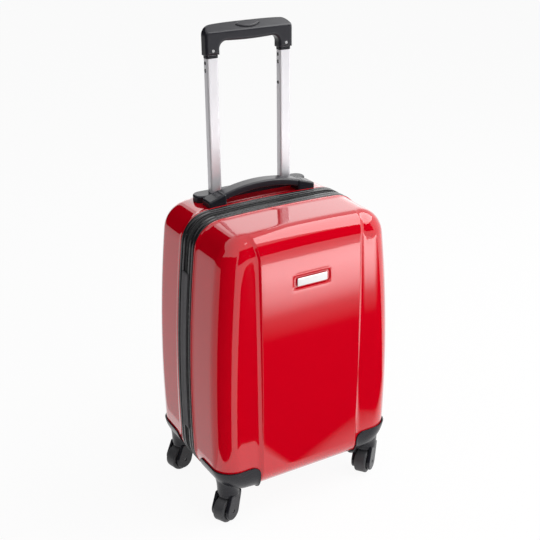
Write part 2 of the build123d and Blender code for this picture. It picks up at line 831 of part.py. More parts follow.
def write_casters():
    """Corner guards, kingpins, forks, axles and wheels at the four corners."""
    guard = corner_guard()
    guards = {
        "front_right": guard,
        "front_left": on_left(guard),
        "rear_right": to_rear(guard),
        "rear_left": on_left(to_rear(guard)),
    }
    ends = {"front": -1, "rear": 1}
    sides = {"left": -1, "right": 1}
    for end_name, end in ends.items():
        for side_name, side in sides.items():
            corner = end_name + "_" + side_name
            place = caster_place(side, end)
            turned = place * Rot(0, 0, trail_angles[corner])
            write("corner_guard_" + corner, guards[corner])
            write("caster_pin_" + corner, place * caster_pin())
            write("caster_fork_" + corner, turned * caster_fork())
            write("caster_axle_" + corner, turned * caster_axle())
            write("caster_wheel_" + corner, turned * caster_wheel())


def write_sliders():
    """Two zip sliders and their pulls."""
    for name, height in (("upper", slider_upper_height), ("lower", slider_lower_height)):
        write("zip_slider_" + name, slider_body(height))
        write("zip_pull_" + name, slider_pull(height))


os.makedirs("parts", exist_ok=True)
write_case()
write_handles()
write_casters()
write_sliders()
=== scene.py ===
"""Looks of a glossy hard-shell cabin suitcase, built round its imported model."""

import json
import logging
import math
from dataclasses import dataclass, field
from enum import Enum
from typing import Callable, Sequence

import bmesh
import bpy
from mathutils import Matrix, Vector, noise

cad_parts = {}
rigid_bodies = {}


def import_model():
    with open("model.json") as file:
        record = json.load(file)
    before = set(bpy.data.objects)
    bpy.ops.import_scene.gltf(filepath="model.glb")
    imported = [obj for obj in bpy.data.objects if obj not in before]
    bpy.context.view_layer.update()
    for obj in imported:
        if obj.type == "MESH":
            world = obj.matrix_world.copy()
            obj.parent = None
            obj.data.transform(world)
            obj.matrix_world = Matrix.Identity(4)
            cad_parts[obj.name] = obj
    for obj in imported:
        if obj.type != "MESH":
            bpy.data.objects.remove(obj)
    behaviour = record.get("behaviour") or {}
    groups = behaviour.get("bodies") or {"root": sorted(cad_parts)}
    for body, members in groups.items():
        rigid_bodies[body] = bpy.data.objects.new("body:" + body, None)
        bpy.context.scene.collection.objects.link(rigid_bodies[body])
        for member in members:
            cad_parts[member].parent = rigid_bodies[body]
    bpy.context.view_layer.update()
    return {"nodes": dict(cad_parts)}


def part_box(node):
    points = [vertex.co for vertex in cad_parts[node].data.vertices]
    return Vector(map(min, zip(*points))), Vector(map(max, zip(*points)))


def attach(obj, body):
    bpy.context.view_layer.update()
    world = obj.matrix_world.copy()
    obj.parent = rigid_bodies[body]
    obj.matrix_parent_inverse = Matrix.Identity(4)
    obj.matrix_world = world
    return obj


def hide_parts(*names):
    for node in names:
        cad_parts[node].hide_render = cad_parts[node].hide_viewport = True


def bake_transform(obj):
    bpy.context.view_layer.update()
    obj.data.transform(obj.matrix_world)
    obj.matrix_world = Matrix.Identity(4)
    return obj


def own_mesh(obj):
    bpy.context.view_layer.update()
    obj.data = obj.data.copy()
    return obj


LOG = logging.getLogger("suitcase")
WHITE = (1.0, 1.0, 1.0, 1.0)
SHARP_EDGE = math.radians(50.0)

Point2 = tuple[float, float]
Point3 = tuple[float, float, float]
Piece = bpy.types.Object
Material = bpy.types.Material
Socket = bpy.types.NodeSocket
Form = bmesh.types.BMesh
Vert = bmesh.types.BMVert


class Half(Enum):
    """Which half of the case a piece is on, as the sign of its depth."""

    FRONT = -1
    REAR = 1

    @property
    def body(self) -> str:
        """Name of the body that carries this half."""
        return "lid" if self is Half.FRONT else "case"

    @property
    def word(self) -> str:
        """Word that this half's nodes start with."""
        return "front" if self is Half.FRONT else "rear"


class Effect(Enum):
    """Surface effects that finishes share, by the name of their shader group."""

    GRAIN = "moulded_grain"
    WEAVE = "plain_weave"
    TINT = "cloudy_tint"
    HANDLING = "handling_marks"


# Shaders


class Nodes:
    """Adds nodes to one shader tree."""

    def __init__(self, tree: bpy.types.NodeTree) -> None:
        """Empty the tree and keep it."""
        tree.nodes.clear()
        self.tree = tree

    def add(self, kind: str, *inputs: object, **values: object) -> bpy.types.Node:
        """Add a node, and set or link what it takes.

        Args:
            kind: Blender's node type, such as "ShaderNodeTexNoise".
            inputs: what the first inputs take, each a value or a socket.
            values: properties, or inputs with spaces as underscores.

        Returns:
            The new node.
        """
        node = self.tree.nodes.new(kind)
        for socket, value in zip(node.inputs, inputs):
            self.give(socket, value)
        for name, value in values.items():
            if hasattr(node, name):
                setattr(node, name, value)
            else:
                self.give(node.inputs[name.replace("_", " ")], value)
        return node

    def give(self, socket: Socket, value: object) -> None:
        """Set an input, or link it if the value is a socket.

        Args:
            socket: the input.
            value: what it takes.
        """
        if isinstance(value, Socket):
            self.tree.links.new(value, socket)
        else:
            socket.default_value = value


def new_material(name: str) -> tuple[Material, Nodes]:
    """Make a material with an empty tree.

    Args:
        name: the material's name.

    Returns:
        The material and its nodes.
    """
    material = bpy.data.materials.new(name)
    material.use_nodes = True
    return material, Nodes(material.node_tree)


def seen_rays(nodes: Nodes) -> Socket:
    """Add a mask of the rays that end in the eye or in gloss.

    Args:
        nodes: nodes of the material or the world.

    Returns:
        The mask, 1 for such a ray.
    """
    path = nodes.add("ShaderNodeLightPath").outputs
    mask = path["Is Camera Ray"]
    for other in ("Is Glossy Ray", "Is Transmission Ray"):
        mask = nodes.add("ShaderNodeMath", mask, path[other], operation="MAXIMUM").outputs[0]
    return mask


class EffectGroup:
    """Shader group of one effect, with place and scale going in and one value coming out."""

    def __init__(self, effect: Effect) -> None:
        """Build the group.

        Args:
            effect: which effect.
        """
        self.tree = bpy.data.node_groups.new(effect.value, "ShaderNodeTree")
        for label, way, kind in (("Vector", "INPUT", "NodeSocketVector"),
                                 ("Scale", "INPUT", "NodeSocketFloat"),
                                 ("Value", "OUTPUT", "NodeSocketFloat")):
            self.tree.interface.new_socket(name=label, in_out=way, socket_type=kind)
        self.nodes = Nodes(self.tree)
        start = self.nodes.add("NodeGroupInput").outputs
        self.place = {"Vector": start["Vector"], "Scale": start["Scale"]}
        makers = {Effect.GRAIN: self._grain, Effect.WEAVE: self._weave,
                  Effect.TINT: self._tint, Effect.HANDLING: self._handling}
        self.nodes.add("NodeGroupOutput", makers[effect]())

    def _grain(self) -> Socket:
        """Fine moulded grain: leathery cells over a softer noise.

        Returns:
            The height.
        """
        cells = self.nodes.add("ShaderNodeTexVoronoi", feature="SMOOTH_F1", **self.place)
        cloud = self.nodes.add("ShaderNodeTexNoise", Detail=3.0, **self.place)
        mix = self.nodes.add("ShaderNodeMath", cells.outputs["Distance"], cloud.outputs[0],
                             operation="ADD")
        return mix.outputs[0]

    def _weave(self) -> Socket:
        """Plain weave: crossed sets of threads, the higher one on top.

        Returns:
            The height.
        """
        upright, level, across = (
            self.nodes.add("ShaderNodeTexWave", wave_type="BANDS", bands_direction=direction,
                           Distortion=0.6, **self.place).outputs["Fac"] for direction in "XZY")
        top = self.nodes.add("ShaderNodeMath", upright, level, operation="MAXIMUM")
        cross = self.nodes.add("ShaderNodeMath", top.outputs[0], across, operation="MULTIPLY")
        return cross.outputs[0]

    def _tint(self) -> Socket:
        """Slow cloudy variation for colour.

        Returns:
            The mask.
        """
        cloud = self.nodes.add("ShaderNodeTexNoise", Detail=4.0, Roughness=0.55, **self.place)
        spread = self.nodes.add("ShaderNodeMapRange", cloud.outputs[0], From_Min=0.3, From_Max=0.7)
        return spread.outputs[0]

    def _handling(self) -> Socket:
        """Faint hairlines and rub marks left by handling.

        Returns:
            The mask.
        """
        stretch = self.nodes.add("ShaderNodeMapping", self.place["Vector"], vector_type="POINT",
                                 Scale=(1.0, 1.0, 9.0), Rotation=(0.5, 0.3, 0.0))
        cloud = self.nodes.add("ShaderNodeTexNoise", stretch.outputs["Vector"], Detail=6.0,
                               Roughness=0.7, Scale=self.place["Scale"])
        lines = self.nodes.add("ShaderNodeMapRange", cloud.outputs[0], From_Min=0.58, From_Max=0.72)
        return lines.outputs[0]


@dataclass(frozen=True)
class Finish:
    """One material: its colour, gloss and the surface effects it carries."""

    name: str
    colour: Point3
    second: Point3
    roughness: float = 0.4
    rough_change: float = 0.08
    metallic: float = 0.0
    coat: float = 0.0
    coat_roughness: float = 0.03
    sheen: float = 0.0
    specular: float = 0.5
    anisotropy: float = 0.0
    relief: Effect = Effect.GRAIN
    relief_scale: float = 900.0
    relief_height: float = 0.0
    relief_depth: float = 0.00005
    soft_edge: float = 0.0
    edge_samples: int = 6
    tint_scale: float = 12.0
    marks_scale: float = 60.0

    def build(self, groups: dict[Effect, bpy.types.ShaderNodeTree]) -> Material:
        """Make the material.

        Args:
            groups: the shared shader groups.

        Returns:
            The finished material.
        """
        material, nodes = new_material(self.name)
        where = nodes.add("ShaderNodeTexCoord").outputs["Object"]

        def value(effect: Effect, scale: float) -> Socket:
            """Value of a shared effect at the surface."""
            return nodes.add("ShaderNodeGroup", node_tree=groups[effect], Vector=where,
                             Scale=scale).outputs["Value"]

        blend = nodes.add("ShaderNodeMix", value(Effect.TINT, self.tint_scale), data_type="RGBA")
        first, second = (socket for socket in blend.inputs if socket.type == "RGBA")
        first.default_value = (*self.colour, 1.0)
        second.default_value = (*self.second, 1.0)
        colour = next(socket for socket in blend.outputs if socket.type == "RGBA")
        gloss = nodes.add("ShaderNodeMapRange", value(Effect.HANDLING, self.marks_scale),
                          To_Min=self.roughness, To_Max=self.roughness + self.rough_change)
        shader = nodes.add("ShaderNodeBsdfPrincipled", Base_Color=colour,
                           Roughness=gloss.outputs[0], Metallic=self.metallic,
                           Coat_Weight=self.coat, Coat_Roughness=self.coat_roughness,
                           Sheen_Weight=self.sheen, Specular_IOR_Level=self.specular,
                           Anisotropic=self.anisotropy)
        normal = shader.inputs["Normal"]
        if self.relief_height > 0.0:
            bump = nodes.add("ShaderNodeBump", Strength=self.relief_height,
                             Distance=self.relief_depth,
                             Height=value(self.relief, self.relief_scale))
            nodes.give(normal, bump.outputs["Normal"])
            normal = bump.inputs["Normal"]
        if self.soft_edge > 0.0:
            soft = nodes.add("ShaderNodeBevel", samples=self.edge_samples, Radius=self.soft_edge)
            nodes.give(normal, soft.outputs["Normal"])
        nodes.add("ShaderNodeOutputMaterial", shader.outputs["BSDF"])
        return material


FINISHES = (
    Finish("red_polycarbonate", (0.59, 0.0, 0.009), (0.56, 0.0, 0.009), roughness=0.07,
           rough_change=0.05, coat=1.0, coat_roughness=0.02, specular=0.36, tint_scale=4.0,
           marks_scale=25.0),
    Finish("black_moulding", (0.010, 0.010, 0.014), (0.015, 0.015, 0.020), roughness=0.27,
           specular=0.36, soft_edge=0.0012, relief_scale=1500.0, relief_height=0.25,
           relief_depth=0.00006),
    Finish("grip_moulding", (0.014, 0.014, 0.019), (0.021, 0.020, 0.026), roughness=0.28,
           soft_edge=0.003, relief_scale=1900.0, relief_height=0.12, relief_depth=0.00004),
    Finish("band_rubber", (0.012, 0.011, 0.013), (0.019, 0.018, 0.020), roughness=0.26,
           relief_scale=1400.0, relief_height=0.07, relief_depth=0.00004),
    Finish("zip_tape_weave", (0.010, 0.010, 0.011), (0.018, 0.018, 0.019), roughness=0.85,
           sheen=0.15, relief=Effect.WEAVE, relief_scale=420.0, relief_height=0.5,
           relief_depth=0.0002),
    Finish("zip_coil", (0.016, 0.016, 0.017), (0.024, 0.024, 0.026)),
    Finish("hinge_weave", (0.055, 0.052, 0.057), (0.075, 0.072, 0.078), roughness=0.8, sheen=0.2,
           relief=Effect.WEAVE, relief_scale=380.0, relief_height=0.55, relief_depth=0.00025),
    Finish("lining_weave", (0.022, 0.022, 0.025), (0.034, 0.034, 0.038), roughness=0.7, sheen=0.25,
           relief=Effect.WEAVE, relief_scale=520.0, relief_height=0.35, relief_depth=0.00015,
           tint_scale=20.0),
    Finish("strap_webbing", (0.018, 0.018, 0.020), (0.028, 0.028, 0.031), roughness=0.8, sheen=0.2,
           relief=Effect.WEAVE, relief_scale=300.0, relief_height=0.6, relief_depth=0.0003),
    Finish("satin_aluminium", (0.86, 0.85, 0.88), (0.91, 0.90, 0.93), roughness=0.36,
           rough_change=0.06, metallic=0.62, anisotropy=0.3, marks_scale=140.0),
    Finish("bright_plate", (0.64, 0.63, 0.63), (0.70, 0.69, 0.69), roughness=0.3,
           rough_change=0.1, metallic=1.0, marks_scale=220.0),
    Finish("screw_steel", (0.62, 0.62, 0.63), (0.70, 0.70, 0.71), roughness=0.25, metallic=1.0),
    Finish("wheel_tread", (0.040, 0.040, 0.043), (0.052, 0.052, 0.056), roughness=0.5,
           relief_scale=1100.0, relief_height=0.3, relief_depth=0.00008),
    Finish("black_enamel", (0.022, 0.022, 0.024), (0.030, 0.030, 0.032), roughness=0.3, coat=0.3),
)

SOLID_FINISHES: dict[str, tuple[str, ...]] = {
    "black_moulding": ("corner_guard_", "handle_cover", "caster_fork_", "carry_cap_",
                       "handle_bezel", "tube_collar_", "tube_base", "strap_buckle"),
    "grip_moulding": ("pull_grip", "push_button", "carry_handle"),
    "band_rubber": ("front_trim", "rear_trim"),
    "zip_tape_weave": ("front_zip_half", "rear_zip_half"),
    "hinge_weave": ("front_hinge_tape", "rear_hinge_tape"),
    "lining_weave": ("front_lining", "rear_lining"),
    "strap_webbing": ("packing_straps",),
    "satin_aluminium": ("outer_tube_", "middle_tube_", "inner_tube_"),
    "bright_plate": ("name_plate",),
    "screw_steel": ("grip_screws", "caster_pin_", "push_rod_", "lock_pin_", "button_springs"),
    "wheel_tread": ("caster_wheel_",),
    "black_enamel": ("zip_slider_", "zip_pull_", "caster_axle_"),
    "red_polycarbonate": ("front_shell", "rear_shell"),
}


# Meshes


def to_piece(name: str, form: Form, material: Material) -> Piece:
    """Put a bmesh in the scene as a smooth-shaded piece with outward normals.

    Args:
        name: the piece's name.
        form: the bmesh, which is freed.
        material: its finish.

    Returns:
        The new object.
    """
    bmesh.ops.recalc_face_normals(form, faces=form.faces)
    mesh = bpy.data.meshes.new(name)
    form.to_mesh(mesh)
    form.free()
    piece = bpy.data.objects.new(name, mesh)
    bpy.context.scene.collection.objects.link(piece)
    mesh.materials.append(material)
    mesh.shade_smooth()
    return piece


def mount(piece: Piece, body: str, slot: str, *nodes: str) -> Piece:
    """Let a piece ride on a body.

    Args:
        piece: the piece.
        body: the body that carries it.
        slot: not used.
        nodes: the solids it stands in for.

    Returns:
        The piece.
    """
    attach(piece, body)
    if nodes:
        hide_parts(*nodes)
    return piece


def join_grid(form: Form, grid: Sequence[Sequence[Vert]]) -> None:
    """Fill the cells between rows of equal length.

    Args:
        form: the bmesh that holds the rows.
        grid: the rows in order.
    """
    for row, after in zip(grid, grid[1:]):
        for step in range(len(row) - 1):
            form.faces.new((row[step], row[step + 1], after[step + 1], after[step]))


def join_rings(form: Form, rings: Sequence[Sequence[Vert]]) -> None:
    """Fill the strips between closed rings of equal length."""
    join_grid(form, [[*ring, ring[0]] for ring in rings])


def thicken(piece: Piece, thickness: float) -> None:
    """Give a surface a wall behind its outer side and apply it.

    Args:
        piece: the surface.
        thickness: the wall, in metres.
    """
    wall = piece.modifiers.new("wall", "SOLIDIFY")
    wall.thickness = thickness
    wall.offset = -1.0
    graph = bpy.context.evaluated_depsgraph_get()
    mesh = bpy.data.meshes.new_from_object(piece.evaluated_get(graph))
    piece.modifiers.clear()
    piece.data = mesh


def arc(centre: Point2, radius: float, first: float, last: float, steps: int) -> list[Point2]:
    """Points along an arc, without its first one.

    Args:
        centre: the arc's centre.
        radius: its radius.
        first: the angle it starts at.
        last: the angle it ends at.
        steps: number of points.

    Returns:
        The points in order.
    """
    turns = [first + (last - first) * step / steps for step in range(1, steps + 1)]
    return [(centre[0] + radius * math.cos(turn), centre[1] + radius * math.sin(turn))
            for turn in turns]


def circle(steps: int) -> list[Point2]:
    """Directions round a full turn."""
    return [(math.cos(math.tau * step / steps), math.sin(math.tau * step / steps))
            for step in range(steps)]


def rounded_loop(length: float, width: float, radius: float, steps: int = 6) -> list[Point2]:
    """Points round a rounded rectangle about its centre.

    Args:
        length: size along the first axis.
        width: size along the second axis.
        radius: corner radius.
        steps: segments in each corner.

    Returns:
        Anticlockwise points.
    """
    points = []
    for quarter, (sx, sz) in enumerate(((1, 1), (-1, 1), (-1, -1), (1, -1))):
        for step in range(steps + 1):
            angle = math.pi / 2 * (quarter + step / steps)
            points.append((sx * (length / 2 - radius) + radius * math.cos(angle),
                           sz * (width / 2 - radius) + radius * math.sin(angle)))
    return points


# Case form


@dataclass(frozen=True)
class CaseForm:
    """Outline and profile that both shells, the band and the linings share."""

    width: float = 0.362
    bottom: float = 0.058
    top: float = 0.545
    side_radius: float = 2.525
    side_crown: float = 0.200
    top_radius: float = 2.600
    top_corner: float = 0.053
    bottom_corner: float = 0.060
    half_depth: float = 0.130
    draft: float = math.radians(1.0)
    face_radius: float = 6.75
    face_edge: float = 0.038
    wall: float = 0.0025
    band_half: float = 0.024
    bead_width: float = 0.004
    bead_proud: float = 0.001
    panel_half: float = 0.110
    panel_rise: float = 0.004
    panel_flank: float = 0.013
    panel_sweep: float = 2.2
    panel_flare: float = 0.009
    well_radius: float = 0.0386
    well_top: float = 0.0756
    plate_height: float = 0.449
    swivel: Point2 = (0.149, 0.094)
    tubes: Point2 = (0.07025, 0.078)
    tube_slot: Point2 = (0.0165, 0.0115)
    columns: tuple[float, ...] = (
        0.0, 0.010, 0.020, 0.030, 0.040, 0.050, 0.060, 0.070, 0.078, 0.084, 0.090, 0.093, 0.0945,
        0.0957, 0.0964, 0.097, 0.0976, 0.0984, 0.0993, 0.1002, 0.1011, 0.1020, 0.1029, 0.1038,
        0.1047, 0.1057, 0.1068, 0.1080)
    corner_steps: int = 14
    side_steps: int = 64

    @property
    def foot(self) -> float:
        """Depth at which the wall meets the face's edge rounding."""
        return self.half_depth - self.face_edge

    @property
    def middle(self) -> float:
        """Height halfway up the shell."""
        return (self.top + self.bottom) / 2

    @property
    def side_centre(self) -> Point2:
        """Centre of the right-hand side's arc."""
        return self.width / 2 - self.side_radius, self.side_crown

    @property
    def low_corner(self) -> Point2:
        """Centre of the lower right corner's rounding.

        Returns:
            The point (x, z).
        """
        x, z = self.side_centre
        height = self.bottom + self.bottom_corner
        reach = self.side_radius - self.bottom_corner
        return x + math.sqrt(reach ** 2 - (height - z) ** 2), height

    @property
    def high_corner(self) -> Point2:
        """Centre of the upper right corner's rounding, where two circles cross.

        Returns:
            The point (x, z).
        """
        x1, z1 = self.side_centre
        r1 = self.side_radius - self.top_corner
        z2 = self.top - self.top_radius
        r2 = self.top_radius - self.top_corner
        gap = math.hypot(x1, z2 - z1)
        along = (r1 ** 2 - r2 ** 2 + gap ** 2) / (2 * gap)
        across = math.sqrt(r1 ** 2 - along ** 2)
        ux = -x1 / gap
        uz = (z2 - z1) / gap
        return x1 + along * ux - across * uz, z1 + along * uz + across * ux

    def right_half(self, inset: float) -> list[Point2]:
        """Right-hand half of the outline, from bottom middle to top middle.

        Args:
            inset: distance inwards from the outside, in metres.

        Returns:
            Points (x, z) in a fixed number and order.
        """
        low, high, side = self.low_corner, self.high_corner, self.side_centre
        first = math.atan2(low[1] - side[1], low[0] - side[0])
        last = math.atan2(high[1] - side[1], high[0] - side[0])
        top_z = self.top - self.top_radius
        end = math.atan2(high[1] - top_z, high[0])
        points = [(x, self.bottom + inset) for x in (*self.columns, low[0])]
        points += arc(low, self.bottom_corner - inset, -math.pi / 2, first, self.corner_steps)
        points += arc(side, self.side_radius - inset, first, last, self.side_steps)
        points += arc(high, self.top_corner - inset, last, end, self.corner_steps)
        top_r = self.top_radius - inset
        points += [(x, top_z + math.sqrt(top_r ** 2 - x ** 2)) for x in reversed(self.columns)]
        return points

    def loop(self, inset: float) -> list[Point2]:
        """Whole outline, anticlockwise seen from the front, from bottom middle."""
        right = self.right_half(inset)
        return right + [(-x, z) for x, z in reversed(right[1:-1])]

    def in_well(self, point: Vector) -> bool:
        """Whether a point lies in a caster's well."""
        away = math.hypot(abs(point.x) - self.swivel[0], abs(point.y) - self.swivel[1])
        return away < self.well_radius and point.z < self.well_top

    def in_slot(self, point: Vector) -> bool:
        """Whether a point of the rear half's top lies where a handle tube goes in."""
        return (point.z > self.middle and abs(abs(point.x) - self.tubes[0]) < self.tube_slot[0]
                and abs(point.y - self.tubes[1]) < self.tube_slot[1])

    def inside(self, point: Vector, margin: float) -> bool:
        """Whether a point near a lower corner lies in the case.

        Args:
            point: the point.
            margin: how far in from the outside it has to be.

        Returns:
            True inside the case.
        """
        over = max(abs(point.y) - self.foot, 0.0)
        if over + margin > self.face_edge:
            return False
        inset = margin + min(abs(point.y), self.foot) * math.tan(self.draft)
        inset += self.face_edge - math.sqrt(self.face_edge ** 2 - over ** 2)
        x, z = self.low_corner
        if abs(point.x) < x:
            return point.z > self.bottom + inset
        return math.hypot(abs(point.x) - x, min(point.z - z, 0.0)) < self.bottom_corner - inset

    def crown(self, z: float) -> float:
        """How far the face falls back at a height, from its crown."""
        return (z - self.middle) ** 2 / (2 * self.face_radius)

    def panel(self, x: float, turn: float) -> float:
        """Rise of the middle panel.

        Args:
            x: distance from the centre plane.
            turn: 0 on the face, growing to 1 where the edge rounding meets the wall.

        Returns:
            The rise towards the viewer, in metres.
        """
        foot = self.panel_half + self.panel_flare * turn
        share = min(max((foot - abs(x)) / self.panel_flank, 0.0), 1.0)
        return self.panel_rise * share ** self.panel_sweep


@dataclass
class ShellSurface:
    """Smooth mesh of one shell, ring by ring from the rim, then a grid over the face."""

    form: CaseForm
    inset: float = 0.0
    bead: bool = False
    hole: tuple[float, float, float, float] | None = None
    wall_steps: int = 10
    edge_steps: int = 16
    face_rings: tuple[float, ...] = (0.0415, 0.045, 0.0485)
    verts: list[Point3] = field(default_factory=list)
    faces: list[tuple[int, ...]] = field(default_factory=list)
    hole_loop: list[int] = field(default_factory=list)

    def __post_init__(self) -> None:
        """Fill the lists of vertices and faces."""
        profile = self._rings()
        count = len(self.form.loop(0.0))
        for ring_inset, depth, turn in profile:
            ring = self.form.loop(ring_inset + self.inset)
            self.verts += [self._place(x, z, depth, turn) for x, z in ring]
        for ring in range(len(profile) - 1):
            for step in range(count):
                here = ring * count + step
                beside = ring * count + (step + 1) % count
                self.faces.append((here, beside, beside + count, here + count))
        self._fill_face((len(profile) - 1) * count, count, profile[-1][0])

    def _rings(self) -> list[Point3]:
        """Profile from rim to face.

        Returns:
            Rings as (inset, depth, turn): turn is 0 on the face and 1 on the wall.
        """
        f = self.form
        start = f.band_half
        slope = math.tan(f.draft)
        profile: list[Point3] = []
        if self.bead:
            crest = start + f.bead_width
            small = f.bead_proud / 2
            profile += [(f.wall, start, 1.0), (-small, start, 1.0),
                        (-f.bead_proud, start + small, 1.0), (-f.bead_proud, crest - small, 1.0),
                        (-small, crest - small / 4, 1.0), (0.0, crest + small / 2, 1.0),
                        (0.0, crest + 3 * small, 1.0)]
            start = crest + 6 * small
        for step in range(self.wall_steps + 1):
            depth = start + (f.foot - start) * step / self.wall_steps
            profile.append((depth * slope, depth, 1.0))
        for step in range(1, self.edge_steps + 1):
            share = step / self.edge_steps
            angle = math.pi / 2 * share
            profile.append((f.foot * slope + f.face_edge * (1 - math.cos(angle)),
                            f.foot + f.face_edge * math.sin(angle), 1.0 - share))
        return profile + [(ring, f.half_depth, 0.0) for ring in self.face_rings]

    def to_bmesh(self, half: Half, wells: bool = False) -> tuple[Form, list[Vert]]:
        """Mesh of the surface on one half, open where the handle tubes go in.

        Args:
            half: which half.
            wells: whether it is open over the casters' wells.

        Returns:
            The bmesh and its vertices in the surface's order.
        """
        form = bmesh.new()
        verts = [form.verts.new((x, -half.value * y, z)) for x, y, z in self.verts]
        for face in self.faces:
            points = [verts[index] for index in face]
            centre = sum((vert.co for vert in points), Vector()) / len(points)
            if not (wells and self.form.in_well(centre)) and not self.form.in_slot(centre):
                form.faces.new(points)
        return form, verts

    def _place(self, x: float, z: float, depth: float, turn: float) -> Point3:
        """Point of the front shell.

        Args:
            x: distance from the centre plane.
            z: height.
            depth: depth in the profile.
            turn: 0 on the face, 1 on the wall.

        Returns:
            The point.
        """
        f = self.form
        share = min(max((depth - f.band_half) / (f.foot - f.band_half), 0.0), 1.0)
        if depth > f.foot:
            depth = f.foot + (depth - f.foot) * (1 - f.crown(z) / f.face_edge)
        return x, -(depth + share * f.panel(x, turn)) + self.inset * share, z

    def _fill_face(self, first: int, count: int, ring_inset: float) -> None:
        """Close the face with a grid whose columns are upright lines.

        Args:
            first: index of the innermost ring's first vertex.
            count: points in a ring.
            ring_inset: inset of that ring.
        """
        f = self.form
        edge = f.loop(ring_inset + self.inset)
        wide = len(f.columns) + f.corner_steps // 2
        rows = f.corner_steps + f.side_steps
        half = len(f.right_half(0.0))
        grid: dict[tuple[int, int], int] = {}
        for row in range(rows + 1):
            grid[wide, row] = first + wide + row
            grid[-wide, row] = first + (count - wide - row) % count
        for column in range(-wide + 1, wide):
            grid[column, 0] = first + column % count
            grid[column, rows] = first + (half - 1 - column) % count
        inner = len(f.columns) - 1
        low_z = edge[wide][1]
        high_z = edge[wide + rows][1]
        for row in range(1, rows):
            side_x, side_z = edge[wide + row]
            share = (side_z - low_z) / (high_z - low_z)
            for column in range(-wide + 1, wide):
                step = min(abs(column), inner)
                x = f.columns[step]
                z = edge[step][1] * (1 - share) + edge[half - 1 - step][1] * share
                if abs(column) > inner:
                    out = (abs(column) - inner) / (wide - inner)
                    x = x * (1 - out) + side_x * out
                    z = z * (1 - out) + side_z * out
                grid[column, row] = len(self.verts)
                self.verts.append(self._place(math.copysign(x, column), z, f.half_depth, 0.0))
        cells = [(column, row) for row in range(rows) for column in range(-wide, wide)]
        blocked = self._hole_cells(grid, cells)
        self.faces += [(grid[c, r], grid[c + 1, r], grid[c + 1, r + 1], grid[c, r + 1])
                       for c, r in cells if (c, r) not in blocked]

    def _hole_cells(self, grid: dict[tuple[int, int], int],
                    cells: Sequence[tuple[int, int]]) -> set[tuple[int, int]]:
        """Cells left out for the recess, and the loop of vertices round them.

        Args:
            grid: vertex index of each grid point.
            cells: every cell as (column, row).

        Returns:
            The cells that the face leaves open.
        """
        if self.hole is None:
            return set()
        x0, x1, z0, z1 = self.hole
        inside = []
        for column, row in cells:
            a = self.verts[grid[column, row]]
            b = self.verts[grid[column + 1, row + 1]]
            if a[0] > x0 and b[0] < x1 and a[2] > z0 and b[2] < z1:
                inside.append((column, row))
        left = min(c for c, _ in inside)
        right = max(c for c, _ in inside) + 1
        low = min(r for _, r in inside)
        high = max(r for _, r in inside) + 1
        around = [(c, low) for c in range(left, right)] + [(right, r) for r in range(low, high)]
        around += [(c, high) for c in range(right, left, -1)]
        around += [(left, r) for r in range(high, low, -1)]
        self.hole_loop = [grid[point] for point in around]
        return {(c, r) for c in range(left, right) for r in range(low, high)}


# Sub-assemblies


@dataclass
class Assembly:
    """A sub-assembly, with the case form it follows and the finishes it takes."""

    form: CaseForm
    finishes: dict[str, Material]

    def dress(self) -> list[Piece]:
        """Build the pieces and let each ride on its body."""
        raise NotImplementedError

    def piece(self, name: str, form: Form, finish: str) -> Piece:
        """Make a piece from a bmesh, by its finish's name."""
        return to_piece(name, form, self.finishes[finish])

    def sheet(self, name: str, finish: str, cells: tuple[int, int], thickness: float, axis: int,
              outside: Callable[[float, float], Point3]) -> Piece:
        """Make a sheet of cloth whose outer side faces down one axis.

        Args:
            name: the piece's name.
            finish: its finish.
            cells: its rows and columns.
            thickness: its thickness, behind the outer side.
            axis: the axis.
            outside: the outer side at a share of the rows and of the columns.

        Returns:
            The sheet.
        """
        rows, columns = cells
        form = bmesh.new()
        join_grid(form, [[form.verts.new(outside(row / rows, column / columns))
                          for column in range(columns + 1)] for row in range(rows + 1)])
        piece = self.piece(name, form, finish)
        faces_out = piece.data.polygons[0].normal[axis] < 0.0
        thicken(piece, thickness if faces_out else -thickness)
        return piece


